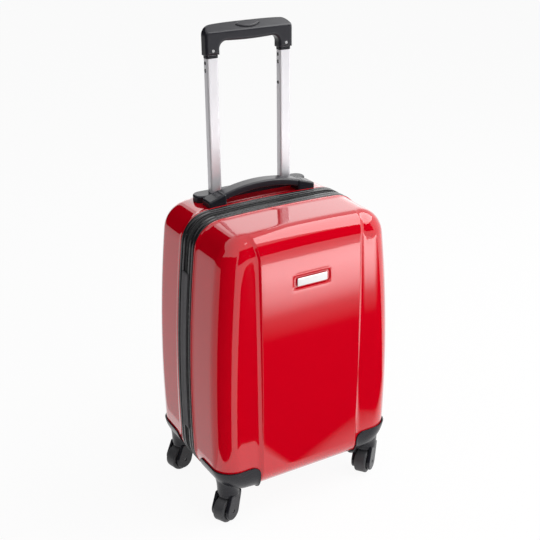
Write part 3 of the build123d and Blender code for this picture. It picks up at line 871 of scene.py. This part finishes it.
@dataclass
class Shells(Assembly):
    """Both glossy shells, with the recess of the bare name plate in the front one."""

    wall_share: float = 0.8
    recess_length: float = 0.070
    recess_width: float = 0.021
    recess_radius: float = 0.005
    recess_depth: float = 0.002
    recess_margin: float = 0.0075
    recess_lip: float = 0.0012
    lip_fall: float = 0.35
    lip_taper: float = 0.3

    def dress(self) -> list[Piece]:
        """Build both shells and put them in place of their solids.

        Returns:
            The two pieces.
        """
        return [mount(self._shell(half), half.body, "red_shell", half.word + "_shell")
                for half in Half]

    def _shell(self, half: Half) -> Piece:
        """Mesh of one shell with its wall.

        Args:
            half: which half.

        Returns:
            The shell piece.
        """
        hole = None
        if half is Half.FRONT:
            reach = self.recess_length / 2 + self.recess_margin
            rise = self.recess_width / 2 + self.recess_margin
            height = self.form.plate_height
            hole = (-reach, reach, height - rise, height + rise)
        surface = ShellSurface(self.form, bead=True, hole=hole)
        form, verts = surface.to_bmesh(half, wells=True)
        if hole:
            self._recess(form, [verts[index] for index in surface.hole_loop])
        piece = self.piece(half.word + "_shell_gloss", form, "red_polycarbonate")
        thicken(piece, self.form.wall * self.wall_share)
        piece.data.set_sharp_from_angle(angle=SHARP_EDGE)
        return piece

    def _recess(self, form: Form, rim: list[Vert]) -> None:
        """Fill the opening in the face with the rounded recess.

        Args:
            form: the shell's bmesh.
            rim: vertices round the opening.
        """
        face_y = sum(vert.co.y for vert in rim) / len(rim)
        loops = []
        lip = self.recess_lip
        for grow, depth in ((lip, 0.0), (0.0, lip * self.lip_fall),
                            (-lip * self.lip_taper, self.recess_depth)):
            ring = rounded_loop(self.recess_length + 2 * grow, self.recess_width + 2 * grow,
                                self.recess_radius + grow)
            loops.append([form.verts.new((x, face_y + depth, self.form.plate_height + z))
                          for x, z in ring])
        outer = loops[0]
        edges = [form.edges.new(pair) for pair in zip(outer, outer[1:] + outer[:1])]
        border = [form.edges.get(pair) for pair in zip(rim, rim[1:] + rim[:1])]
        bmesh.ops.triangle_fill(form, use_beauty=True, edges=edges + [e for e in border if e])
        join_rings(form, loops)
        form.faces.new(loops[-1])


@dataclass
class Band(Assembly):
    """Trim, zip tape and teeth round both rims, and the fabric hinge across them."""

    zip_half: float = 0.007
    proud: float = 0.0015
    depth: float = 0.003
    edge: float = 0.0008
    edge_cut: float = 0.3
    groove_half: float = 0.0015
    groove_fall: float = 0.4
    groove_flat: float = 0.7
    groove_floor: float = 0.0004
    sharp_edge: float = math.radians(60.0)
    tape_top: float = 0.0005
    tape_under: float = 0.0017
    parting: float = 0.0002
    tooth_pitch: float = 0.0026
    tooth_width: float = 0.0011
    tooth_rise: float = 0.0008
    tooth_sunk: float = 0.5
    tooth_ends: tuple[Point3, Point3] = ((0.0030, 0.5, 0.6), (-0.0005, 0.32, 1.0))
    hinge_low: float = 0.150
    hinge_high: float = 0.450
    hinge_half: float = 0.011
    hinge_thickness: float = 0.0012
    hinge_sag: float = 0.5
    hinge_cells: tuple[int, int] = (60, 18)

    def dress(self) -> list[Piece]:
        """Build the band of both halves and the hinge.

        Returns:
            The pieces made.
        """
        pieces = []
        for half in Half:
            trim = self._sweep(half, self._trim_profile(), "_trim_band", "band_rubber")
            tape = self._sweep(half, self._tape_profile(), "_zip_tape", "zip_tape_weave")
            pieces += [mount(trim, half.body, "trim", half.word + "_trim"),
                       mount(tape, half.body, "zip", half.word + "_zip_half"),
                       mount(self._teeth(half), half.body, "zip")]
        return pieces + [self._hinge()]

    def _trim_profile(self) -> list[Point2]:
        """Section of the trim, with rounded edges and a groove.

        Returns:
            Points of (distance from the parting plane, inset).
        """
        middle = (self.form.band_half + self.zip_half) / 2
        far = self.form.band_half - middle
        high, soft, groove = -self.proud, self.edge, self.groove_half
        cut = self.edge_cut * soft
        half = [(far, self.depth), (far, high + soft), (far - cut, high + cut), (far - soft, high),
                (groove + soft, high), (groove, high + self.groove_fall * soft),
                (self.groove_flat * groove, -self.groove_floor)]
        return ([(middle + out, inset) for out, inset in half]
                + [(middle - out, inset) for out, inset in reversed(half)])

    def _tape_profile(self) -> list[Point2]:
        """Section of the flat zip tape, as the trim's."""
        return [(self.zip_half, self.tape_under), (self.zip_half, self.tape_top),
                (self.parting, self.tape_top), (self.parting, self.tape_under)]

    def _sweep(self, half: Half, profile: list[Point2], ending: str, finish: str) -> Piece:
        """Carry a closed section round the outline.

        Args:
            half: which half.
            profile: points of (distance from the parting plane, inset).
            ending: end of the piece's name.
            finish: its finish.

        Returns:
            The swept piece.
        """
        form = bmesh.new()
        rings = [[form.verts.new((x, half.value * depth, z)) for x, z in self.form.loop(inset)]
                 for depth, inset in profile]
        join_rings(form, rings + rings[:1])
        piece = self.piece(half.word + ending, form, finish)
        piece.data.set_sharp_from_angle(angle=self.sharp_edge)
        return piece

    def _teeth(self, half: Half) -> Piece:
        """One row of zip teeth, left out along the hinge.

        Args:
            half: which half.

        Returns:
            All teeth of this half as one piece.
        """
        form = bmesh.new()
        travel = self.tooth_pitch / 2 if half is Half.REAR else 0.0
        path = [Vector(point) for point in self.form.loop(0.0)]
        for start, stop in zip(path, path[1:] + path[:1]):
            step = stop - start
            along = step.normalized()
            while travel < step.length:
                middle = start + along * travel
                travel += self.tooth_pitch
                if middle.x > 0.0 or not self.hinge_low < middle.y < self.hinge_high:
                    self._tooth(form, half, middle, along)
            travel -= step.length
        return self.piece(half.word + "_zip_teeth", form, "zip_coil")

    def _tooth(self, form: Form, half: Half, middle: Vector, along: Vector) -> None:
        """Add one tapered tooth.

        Args:
            form: the bmesh to add to.
            half: which half.
            middle: the tooth's place on the outline.
            along: direction of the outline there.
        """
        out = Vector((along.y, -along.x)) * self.tooth_rise
        corners = []
        for reach, wide, rise in self.tooth_ends:
            aside = along * (wide * self.tooth_width)
            sunk = -self.tooth_sunk
            for side, height in ((-1, sunk), (1, sunk), (1, rise), (-1, rise)):
                flat = middle + aside * side + out * height
                corners.append(form.verts.new((flat.x, half.value * reach, flat.y)))
        form.faces.new(corners[:4])
        form.faces.new(corners[4:])
        join_rings(form, (corners[:4], corners[4:]))

    def _hinge(self) -> Piece:
        """Fabric strip over both trims.

        Returns:
            The strip.
        """
        cx, cz = self.form.side_centre

        def outside(up: float, aside: float) -> Point3:
            """Point of the strip's outer side, which sags over the zip.

            Args:
                up: share of the height.
                aside: share of the width.

            Returns:
                The point.
            """
            y = self.hinge_half * (2 * aside - 1)
            z = self.hinge_low + (self.hinge_high - self.hinge_low) * up
            sag = self.hinge_sag * max(0.0, 1 - abs(y) / self.zip_half) ** 2
            rise = self.proud + self.hinge_thickness * (1 - sag)
            return -cx - math.sqrt((self.form.side_radius + rise) ** 2 - (z - cz) ** 2), y, z

        piece = self.sheet("hinge_strip", "hinge_weave", self.hinge_cells, self.hinge_thickness, 0,
                           outside)
        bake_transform(piece)
        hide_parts("front_hinge_tape", "rear_hinge_tape")
        return piece


@dataclass
class Interior(Assembly):
    """Fabric lining of both halves and the packing straps over the handle cover."""

    lining_gap: float = 0.0027
    lining_thickness: float = 0.0008
    ripple: float = 0.0003
    ripple_scale: float = 30.0
    dent_half: Point2 = (0.041, 0.017)
    dent_fade: float = 0.014
    dent_depth: float = 0.0036
    strap_width: float = 0.025
    strap_thickness: float = 0.0012
    strap_tuck: float = 0.006
    strap_lift: float = 0.3
    strap_wave: float = 9.0
    strap_curl: int = 3
    strap_cells: tuple[int, int] = (48, 8)

    def dress(self) -> list[Piece]:
        """Build the linings and the straps.

        Returns:
            The pieces made.
        """
        pieces = [mount(self._lining(half), half.body, "lining", half.word + "_lining")
                  for half in Half]
        low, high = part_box("packing_straps")
        under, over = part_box("strap_buckle")
        for name, start, stop in (("strap_lower", low.z, under.z + self.strap_tuck),
                                  ("strap_upper", over.z - self.strap_tuck, high.z)):
            strap = self._strap(name, start, stop, low.y)
            pieces.append(mount(strap, "case", "strap", "packing_straps"))
        return pieces

    def _lining(self, half: Half) -> Piece:
        """Lining of one half, a little rippled.

        Args:
            half: which half.

        Returns:
            The lining.
        """
        form, _ = ShellSurface(self.form, inset=self.lining_gap).to_bmesh(half)
        for vert in form.verts:
            vert.co += vert.co.normalized() * self.ripple * noise.noise(vert.co * self.ripple_scale)
            if half is Half.FRONT and -vert.co.y > self.form.half_depth / 2:
                vert.co.y += self._dent(vert.co.x, vert.co.z)
        piece = self.piece(half.word + "_lining_fabric", form, "lining_weave")
        thicken(piece, self.lining_thickness)
        return piece

    def _dent(self, x: float, z: float) -> float:
        """How far the front lining stands in behind the name plate's recess.

        Args:
            x: distance from the centre plane.
            z: height.

        Returns:
            The dent, in metres.
        """
        away = math.hypot(max(abs(x) - self.dent_half[0], 0.0),
                          max(abs(z - self.form.plate_height) - self.dent_half[1], 0.0))
        share = max(1 - away / self.dent_fade, 0.0)
        return self.dent_depth * share * share * (3 - 2 * share)

    def _strap(self, name: str, start: float, stop: float, front: float) -> Piece:
        """One strap with a soft wave along it and curled edges.

        Args:
            name: the piece's name.
            start: its lower end.
            stop: its upper end.
            front: depth of its front face.

        Returns:
            The strap.
        """

        def outside(up: float, aside: float) -> Point3:
            """Point of the strap's front.

            Args:
                up: share of the length.
                aside: share of the width.

            Returns:
                The point.
            """
            across = 2 * aside - 1
            lift = math.sin(self.strap_wave * up) + abs(across) ** self.strap_curl
            return (across * self.strap_width / 2,
                    front - self.strap_lift * self.strap_thickness * lift,
                    start + (stop - start) * up)

        return self.sheet(name, "strap_webbing", self.strap_cells, self.strap_thickness, 1, outside)


@dataclass
class CornerGuards(Assembly):
    """Black guards over the lower corners.

    Each has a skin, a throat down to the caster and a dome inside the case.
    """

    proud: float = 0.0026
    wall: float = 0.0022
    reach: Point2 = (0.102, 0.042)
    top: float = 0.110
    corner: float = 0.016
    corner_steps: int = 7
    round_steps: int = 64
    throat_steps: int = 14
    neck_radius: float = 0.0202
    neck_bottom: float = 0.0561
    neck_top: float = 0.0600
    throat_radius: float = 0.0276
    throat_bend: Point3 = (0.45, 0.0234, 0.22)
    meets_within: float = 0.0001
    dome_edge: float = 0.0106
    dome_steps: int = 8
    dome_inner: Point2 = (0.5, 0.02)
    dome_clear: float = 0.0036

    def dress(self) -> list[Piece]:
        """Build the four guards and put them in place of their solids.

        Returns:
            The four pieces.
        """
        pieces = []
        for half in Half:
            for word, side in (("left", -1), ("right", 1)):
                place = half.word + "_" + word
                guard = self._guard(half, side, "guard_" + place)
                pieces.append(mount(guard, half.body, "black_plastic", "corner_guard_" + place))
        return pieces

    def _guard(self, half: Half, side: int, name: str) -> Piece:
        """One guard.

        Args:
            half: which half.
            side: -1 on the left, 1 on the right.
            name: the piece's name.

        Returns:
            The guard.
        """
        form, _ = ShellSurface(self.form, inset=-self.proud).to_bmesh(half)
        self._trim(form, 0, side, self.reach[0])
        self._trim(form, 1, half.value, self.reach[1])
        piece = self.piece(name, form, "black_moulding")
        thicken(piece, self.wall)
        form = bmesh.new()
        form.from_mesh(piece.data)
        centre = Vector((side * self.form.swivel[0], half.value * self.form.swivel[1], 0.0))
        self._throat(form, centre)
        self._dome(form, centre)
        form.to_mesh(piece.data)
        form.free()
        piece.data.shade_smooth()
        piece.data.set_sharp_from_angle(angle=SHARP_EDGE)
        return piece

    def _trim(self, form: Form, axis: int, sign: int, reach: float) -> None:
        """Cut the skin to the guard's rounded outline, as seen along one level direction.

        Args:
            form: the skin.
            axis: 0 to limit it in width, 1 in depth.
            sign: which way the guard lies.
            reach: where it starts.
        """
        middle = Vector((0.0, 0.0, self.top - self.corner))
        middle[axis] = sign * (reach + self.corner)
        for step in range(self.corner_steps + 1):
            lean = math.pi / 2 * step / self.corner_steps
            out = Vector((0.0, 0.0, math.sin(lean)))
            out[axis] = -sign * math.cos(lean)
            bmesh.ops.bisect_plane(form, geom=[*form.verts, *form.edges, *form.faces],
                                   plane_co=middle + self.corner * out, plane_no=out,
                                   clear_outer=True)

    def _meets(self, point: Vector) -> float:
        """Height at which an upright line enters the case.

        Args:
            point: where the line stands.

        Returns:
            The height, by halving.
        """
        low, high = self.neck_top, self.top + self.corner
        while high - low > self.meets_within:
            middle = (low + high) / 2
            if self.form.inside(Vector((point.x, point.y, middle)), 0.0):
                high = middle
            else:
                low = middle
        return high

    def _throat(self, form: Form, centre: Vector) -> None:
        """Add the throat that narrows from the skin to the caster's neck.

        Args:
            form: the guard.
            centre: the swivel's axis.
        """
        rings: list[list[Vert]] = [[] for _ in range(self.throat_steps + 2)]
        first, wide, last = self.throat_bend
        for x, y in circle(self.round_steps):
            out = Vector((x, y, 0.0))
            tall = self._meets(centre + self.throat_radius * out) - self.neck_top
            bends = ((self.neck_radius, 0.0), (self.neck_radius, first * tall),
                     (wide, (1 - last) * tall), (self.throat_radius, tall))
            profile = [(self.neck_radius, self.neck_bottom)]
            for step in range(self.throat_steps + 1):
                t = step / self.throat_steps
                shares = ((1 - t) ** 3, 3 * t * (1 - t) ** 2, 3 * t * t * (1 - t), t ** 3)
                radius, rise = (sum(share * bend[axis] for share, bend in zip(shares, bends))
                                for axis in (0, 1))
                profile.append((radius, self.neck_top + rise))
            for ring, (radius, z) in zip(rings, profile):
                ring.append(form.verts.new(centre + Vector((radius * x, radius * y, z))))
        self._join_seen(form, rings, lambda point: not self.form.inside(point, 0.0))

    def _dome(self, form: Form, centre: Vector) -> None:
        """Add the dome over the caster's well that shows inside the case.

        Args:
            form: the guard.
            centre: the swivel's axis.
        """
        high = self.form.well_top
        flat = self.form.well_radius - self.dome_edge
        side = (self.form.well_radius, high - self.dome_edge)
        profile = [(self.form.well_radius, self.form.bottom), side]
        profile += arc((flat, side[1]), self.dome_edge, 0.0, math.pi / 2, self.dome_steps)
        profile += [(flat * share, high) for share in self.dome_inner]
        rings = [[form.verts.new(centre + Vector((radius * x, radius * y, z)))
                  for x, y in circle(self.round_steps)] for radius, z in profile]
        self._join_seen(form, rings, lambda point: self.form.inside(point, self.dome_clear))

    @staticmethod
    def _join_seen(form: Form, rings: list[list[Vert]], seen: Callable[[Vector], bool]) -> None:
        """Fill the strips between rings where they show, and drop the rest.

        Args:
            form: the bmesh that holds the rings.
            rings: the rings in order.
            seen: whether a face shows, by its centre.
        """
        before = set(form.faces)
        join_rings(form, rings)
        added = [face for face in form.faces if face not in before]
        bmesh.ops.recalc_face_normals(form, faces=added)
        hidden = [face for face in added if not seen(face.calc_center_median())]
        bmesh.ops.delete(form, geom=hidden, context="FACES")
        loose = [vert for ring in rings for vert in ring if vert.is_valid and not vert.link_faces]
        bmesh.ops.delete(form, geom=loose, context="VERTS")


@dataclass
class SmallParts(Assembly):
    """Dark rings in the lock holes, which are painted shade, and springs of the push button."""

    spring_turns: int = 8
    spring_steps: int = 16
    spring_corners: int = 6
    spring_wire: float = 0.0004
    spring_radius: float = 0.0026
    spring_offset: float = 0.040
    button_travel: float = 0.004
    # Dark rings in the lock holes: painted shade, a dark thing put where the holes only show shade.
    hole_shade_flange: float = 0.0033
    hole_shade_edge: float = 0.0001
    hole_shade_proud: float = 0.00005
    hole_shade_depth: float = 0.00115
    hole_shade_outside: float = 0.00246
    hole_shade_bore: float = 0.0014
    hole_shade_steps: int = 24
    pin_bore: float = 0.00238
    pin_hole: float = 0.7675
    left_holes: tuple[float, ...] = (0.780, 0.7675)
    right_holes: tuple[float, ...] = (0.780, 0.7675, 0.7315)

    def dress(self) -> list[Piece]:
        """Build the dark hole rings, which are painted shade, and the springs.

        Returns:
            The pieces made.
        """
        # The rings in the lock holes are painted shade.
        tubes = (("middle_tube_left", self.left_holes), ("middle_tube_right", self.right_holes))
        return [*(mount(self._liners(tube, heights), "middle_stage", "black_plastic")
                  for tube, heights in tubes), self._springs()]

    def _springs(self) -> Piece:
        """Both coils that lift the button.

        Returns:
            The coils as one piece.
        """
        low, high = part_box("button_springs")
        wire, depth = self.spring_wire, self.form.tubes[1]
        tall = high.z - low.z - 2 * wire
        count = self.spring_turns * self.spring_steps
        form = bmesh.new()
        for side in (-1, 1):
            rings = []
            for step in range(count + 1):
                turn = math.tau * step / self.spring_steps
                z = low.z + wire + tall * step / count
                ring = []
                for out, up in circle(self.spring_corners):
                    reach = self.spring_radius + wire * out
                    ring.append(form.verts.new((side * self.spring_offset + reach * math.cos(turn),
                                                depth + reach * math.sin(turn), z + wire * up)))
                rings.append(ring)
            join_rings(form, rings)
            form.faces.new(rings[0])
            form.faces.new(rings[-1])
        piece = self.piece("button_coils", form, "screw_steel")
        mount(piece, "inner_stage", "steel", "button_springs")
        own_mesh(piece)
        return piece

    def _liners(self, tube: str, heights: Sequence[float]) -> Piece:
        """Dark ring in each lock hole of one middle tube: painted shade that makes the hole look
        black.

        Args:
            tube: the tube's node.
            heights: heights of its holes.

        Returns:
            All dark hole rings of the tube as one piece.
        """
        low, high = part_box(tube)
        depth = (low.y + high.y) / 2
        form = bmesh.new()
        for height in heights:
            bore = self.pin_bore if height == self.pin_hole else self.hole_shade_bore
            profile = ((self.hole_shade_flange, 0.0),
                       (self.hole_shade_flange - self.hole_shade_edge, -self.hole_shade_proud),
                       (bore, -self.hole_shade_proud), (bore, self.hole_shade_depth),
                       (self.hole_shade_outside, self.hole_shade_depth), (self.hole_shade_outside, 0.0))
            rings = [[form.verts.new((low.x + sunk, depth + radius * y, height + radius * z))
                      for y, z in circle(self.hole_shade_steps)] for radius, sunk in profile]
            join_rings(form, rings + rings[:1])
        # The black rubber finish on the rings paints the shade in the holes.
        return self.piece(tube + "_liners", form, "band_rubber")


# Stage


@dataclass(frozen=True)
class Card:
    """A studio card that only gloss sees: black to keep a colour deep, or glowing for a highlight.

    Each corner is (x, y, z, cover), where cover fades the card from 0, clear, to 1, full.
    """

    name: str
    rows: tuple[tuple[tuple[float, float, float, float], ...], ...]
    glow: float = 0.0
    lift: float = 0.001

    def build(self) -> None:
        """Add the card to the stage."""
        form = bmesh.new()
        layer = form.verts.layers.float.new("cover")
        grid = []
        for row in self.rows:
            grid.append([form.verts.new((x, y, z + self.lift)) for x, y, z, _ in row])
            for vert, corner in zip(grid[-1], row):
                vert[layer] = corner[-1]
        join_grid(form, grid)
        material, nodes = new_material(self.name)
        cover = nodes.add("ShaderNodeAttribute", attribute_name="cover").outputs["Fac"]
        clear = nodes.add("ShaderNodeBsdfTransparent").outputs[0]
        light = nodes.add("ShaderNodeEmission", WHITE, self.glow).outputs[0]
        mix = nodes.add("ShaderNodeMixShader", cover, clear, light)
        nodes.add("ShaderNodeOutputMaterial", mix.outputs[0])
        card = to_piece(self.name, form, material)
        card.visible_camera = False
        card.visible_diffuse = False
        card.visible_transmission = False
        card.visible_shadow = False


@dataclass(frozen=True)
class Lamp:
    """One soft box."""

    name: str
    place: Point3
    aim: Point3
    size: Point2
    power: float
    glossy: bool = False

    def build(self) -> None:
        """Add the lamp to the scene."""
        data = bpy.data.lights.new(self.name, "AREA")
        data.shape = "RECTANGLE"
        data.size, data.size_y = self.size
        data.energy = self.power
        lamp = bpy.data.objects.new(self.name, data)
        lamp.location = self.place
        lamp.visible_glossy = self.glossy
        aim = Vector(self.aim) - Vector(self.place)
        lamp.rotation_euler = aim.to_track_quat("-Z", "Y").to_euler()
        bpy.context.scene.collection.objects.link(lamp)


@dataclass(frozen=True)
class Studio:
    """White floor, soft lamps, gloss cards and the camera at the photograph's angle."""

    azimuth: float = math.radians(-29.91)
    elevation: float = math.radians(23.68)
    roll: float = math.radians(-0.54)
    distance: float = 1.7802
    focal_pixels: float = 999.0
    frame_pixels: float = 540.0
    target: Point3 = (-0.00502, 0.0, 0.41670)
    sensor: float = 36.0
    sight: float = 50.0
    surround: float = 0.40
    floor_size: float = 14.0
    floor_grey: tuple[float, float, float, float] = (0.9, 0.9, 0.9, 1.0)
    floor_glow: float = 0.93
    cards: tuple[Card, ...] = (
        Card("front_dark", (
            ((0.0, -0.29, 0, 0), (0.03, -0.195, 0, 0), (0.265, -0.255, 0, 0), (0.48, -0.06, 0, 0)),
            ((0.015, -0.325, 0, 1), (0.03, -0.235, 0, 1), (0.25, -0.325, 0, 1),
             (0.55, -0.14, 0, 1)),
            ((0.19, -0.65, 0, 1), (0.24, -0.65, 0, 1), (0.45, -0.65, 0, 1), (1.30, -0.60, 0, 1)),
            ((0.30, -0.85, 0, 1), (0.36, -0.85, 0, 1), (0.60, -0.85, 0, 1), (1.60, -0.85, 0, 1)),
            ((0.37, -0.98, 0, 0), (0.44, -0.98, 0, 0), (0.70, -0.98, 0, 0), (1.80, -0.98, 0, 0)))),
        Card("front_glow", (
            ((0.235, -0.73, 0.002, 0), (0.50, -0.73, 0.002, 0), (1.40, -0.73, 0.002, 0)),
            ((0.31, -0.87, 0.002, 0.12), (0.62, -0.87, 0.002, 0.15), (1.60, -0.87, 0.002, 0.15)),
            ((0.39, -1.02, 0.002, 0.55), (0.72, -1.02, 0.002, 0.7), (1.80, -1.02, 0.002, 0.6)),
            ((0.46, -1.15, 0.002, 0.9), (0.82, -1.15, 0.002, 1), (2.00, -1.15, 0.002, 0.8)),
            ((0.53, -1.28, 0.002, 0.9), (0.92, -1.28, 0.002, 1), (2.20, -1.28, 0.002, 0.8))),
            glow=5.0),
        Card("facet_dark", (
            ((-0.10, -0.34, 0, 1), (0.015, -0.33, 0, 1)),
            ((0.0, -0.73, 0, 1), (0.235, -0.73, 0, 1)),
            ((0.14, -1.35, 0, 1), (0.56, -1.35, 0, 1)))),
        Card("horizon_dark", (
            ((-1.0, -5.0, 0.05, 1), (7.0, -5.0, 0.05, 1)),
            ((-1.0, -5.0, 4.2, 1), (7.0, -5.0, 4.2, 1)),
            ((-1.0, -5.0, 4.8, 0), (7.0, -5.0, 4.8, 0)))),
        Card("corner_dark", (
            ((-0.22, -0.33, 0, 1), (-0.40, -0.10, 0, 1)),
            ((-0.46, -1.10, 0, 1), (-1.22, -0.05, 0, 1)),
            ((-0.85, -2.5, 0, 1), (-2.6, 0.0, 0, 1)),
            ((-0.85, -2.5, 1.5, 1), (-2.6, 0.0, 1.5, 1)))),
        Card("side_grey", (
            ((-0.25, 0.0, 0, 0.45), (-0.40, -0.10, 0, 0.45)),
            ((-0.25, 2.0, 0, 0.45), (-2.6, 0.0, 0, 0.45)),
            ((-0.25, 4.5, 0, 0.5), (-2.6, 4.5, 0, 0.5)))),
        Card("back_dark", (
            ((-0.1, 4.5, 0.0, 1), (-2.6, 4.5, 0.0, 1), (-2.6, 0.0, 0.0, 1)),
            ((-0.1, 4.5, 5.0, 1), (-2.6, 4.5, 5.0, 1), (-2.6, 0.0, 2.4, 1)))),
        Card("back_glow", (
            ((0.3, 3.0, 0.3, 1), (4.0, 3.0, 0.3, 1)),
            ((0.3, 3.0, 3.2, 1), (4.0, 3.0, 3.2, 1))), glow=1.6),
    )
    lamps: tuple[Lamp, ...] = (
        Lamp("key_box", (1.5, -0.6, 2.1), (0.0, 0.0, 0.4), (2.0, 2.0), 45.0, glossy=True),
        Lamp("front_fill", (0.5, -2.4, 1.1), (0.0, 0.0, 0.3), (1.2, 1.2), 24.0),
        Lamp("left_fill", (-2.0, 0.2, 1.2), (0.0, 0.0, 0.3), (1.0, 1.2), 4.0),
    )

    def build(self) -> None:
        """Build camera, world, floor, cards and lamps."""
        self._camera()
        self._world()
        self._floor()
        for item in (*self.cards, *self.lamps):
            item.build()

    def _camera(self) -> None:
        """Camera fitted to the photograph's outline."""
        data = bpy.data.cameras.new("photo_camera")
        data.sensor_width = self.sensor
        data.lens = self.focal_pixels / self.frame_pixels * self.sensor
        data.clip_end = self.sight
        camera = bpy.data.objects.new("photo_camera", data)
        level = math.cos(self.elevation)
        back = Vector((math.sin(self.azimuth) * level, -math.cos(self.azimuth) * level,
                       math.sin(self.elevation)))
        right = (-back).cross(Vector((0.0, 0.0, 1.0))).normalized()
        up = right.cross(-back)
        turned_right = math.cos(self.roll) * right + math.sin(self.roll) * up
        turned_up = -math.sin(self.roll) * right + math.cos(self.roll) * up
        place = Matrix((turned_right, turned_up, back)).transposed().to_4x4()
        place.translation = Vector(self.target) + back * self.distance
        camera.matrix_world = place
        bpy.context.scene.collection.objects.link(camera)
        bpy.context.scene.camera = camera

    def _world(self) -> None:
        """White surroundings for the eye and for gloss, softer light for the rest."""
        world = bpy.data.worlds.new("white_studio")
        bpy.context.scene.world = world
        world.use_nodes = True
        nodes = Nodes(world.node_tree)
        level = nodes.add("ShaderNodeMapRange", seen_rays(nodes), To_Min=self.surround, To_Max=1.0)
        glow = nodes.add("ShaderNodeBackground", WHITE, level.outputs[0])
        nodes.add("ShaderNodeOutputWorld", glow.outputs[0])

    def _floor(self) -> None:
        """Pale floor that is white to the eye and still takes the shadow."""
        form = bmesh.new()
        bmesh.ops.create_grid(form, x_segments=2, y_segments=2, size=self.floor_size / 2)
        material, nodes = new_material("white_floor")
        matt = nodes.add("ShaderNodeBsdfDiffuse", self.floor_grey).outputs[0]
        glow = nodes.add("ShaderNodeEmission", WHITE, 1.0).outputs[0]
        share = nodes.add("ShaderNodeMath", seen_rays(nodes), self.floor_glow, operation="MULTIPLY")
        mix = nodes.add("ShaderNodeMixShader", share.outputs[0], matt, glow)
        nodes.add("ShaderNodeOutputMaterial", mix.outputs[0])
        to_piece("floor", form, material)


def dress_solids(solids: dict[str, Piece], finishes: dict[str, Material]) -> None:
    """Give every solid from the frame its finish.

    Args:
        solids: the solids by node name.
        finishes: the materials.
    """
    for finish, starts in SOLID_FINISHES.items():
        for name, solid in solids.items():
            if name.startswith(starts):
                solid.data.materials.clear()
                solid.data.materials.append(finishes[finish])
                LOG.info("%s: %s", name, finish)


def main() -> None:
    """Build the looks of every piece in order."""
    logging.basicConfig(level=logging.INFO, format="%(name)s %(message)s")
    for leftover in list(bpy.data.objects):
        bpy.data.objects.remove(leftover)
    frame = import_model()
    bpy.context.scene.view_settings.view_transform = "Standard"
    groups = {effect: EffectGroup(effect).tree for effect in Effect}
    finishes = {finish.name: finish.build(groups) for finish in FINISHES}
    dress_solids(frame["nodes"], finishes)
    form = CaseForm()
    for kind in (Shells, Band, Interior, CornerGuards, SmallParts):
        for piece in kind(form, finishes).dress():
            LOG.info("built %s", piece.name)
    Studio().build()


if __name__ == "__main__":
    main()
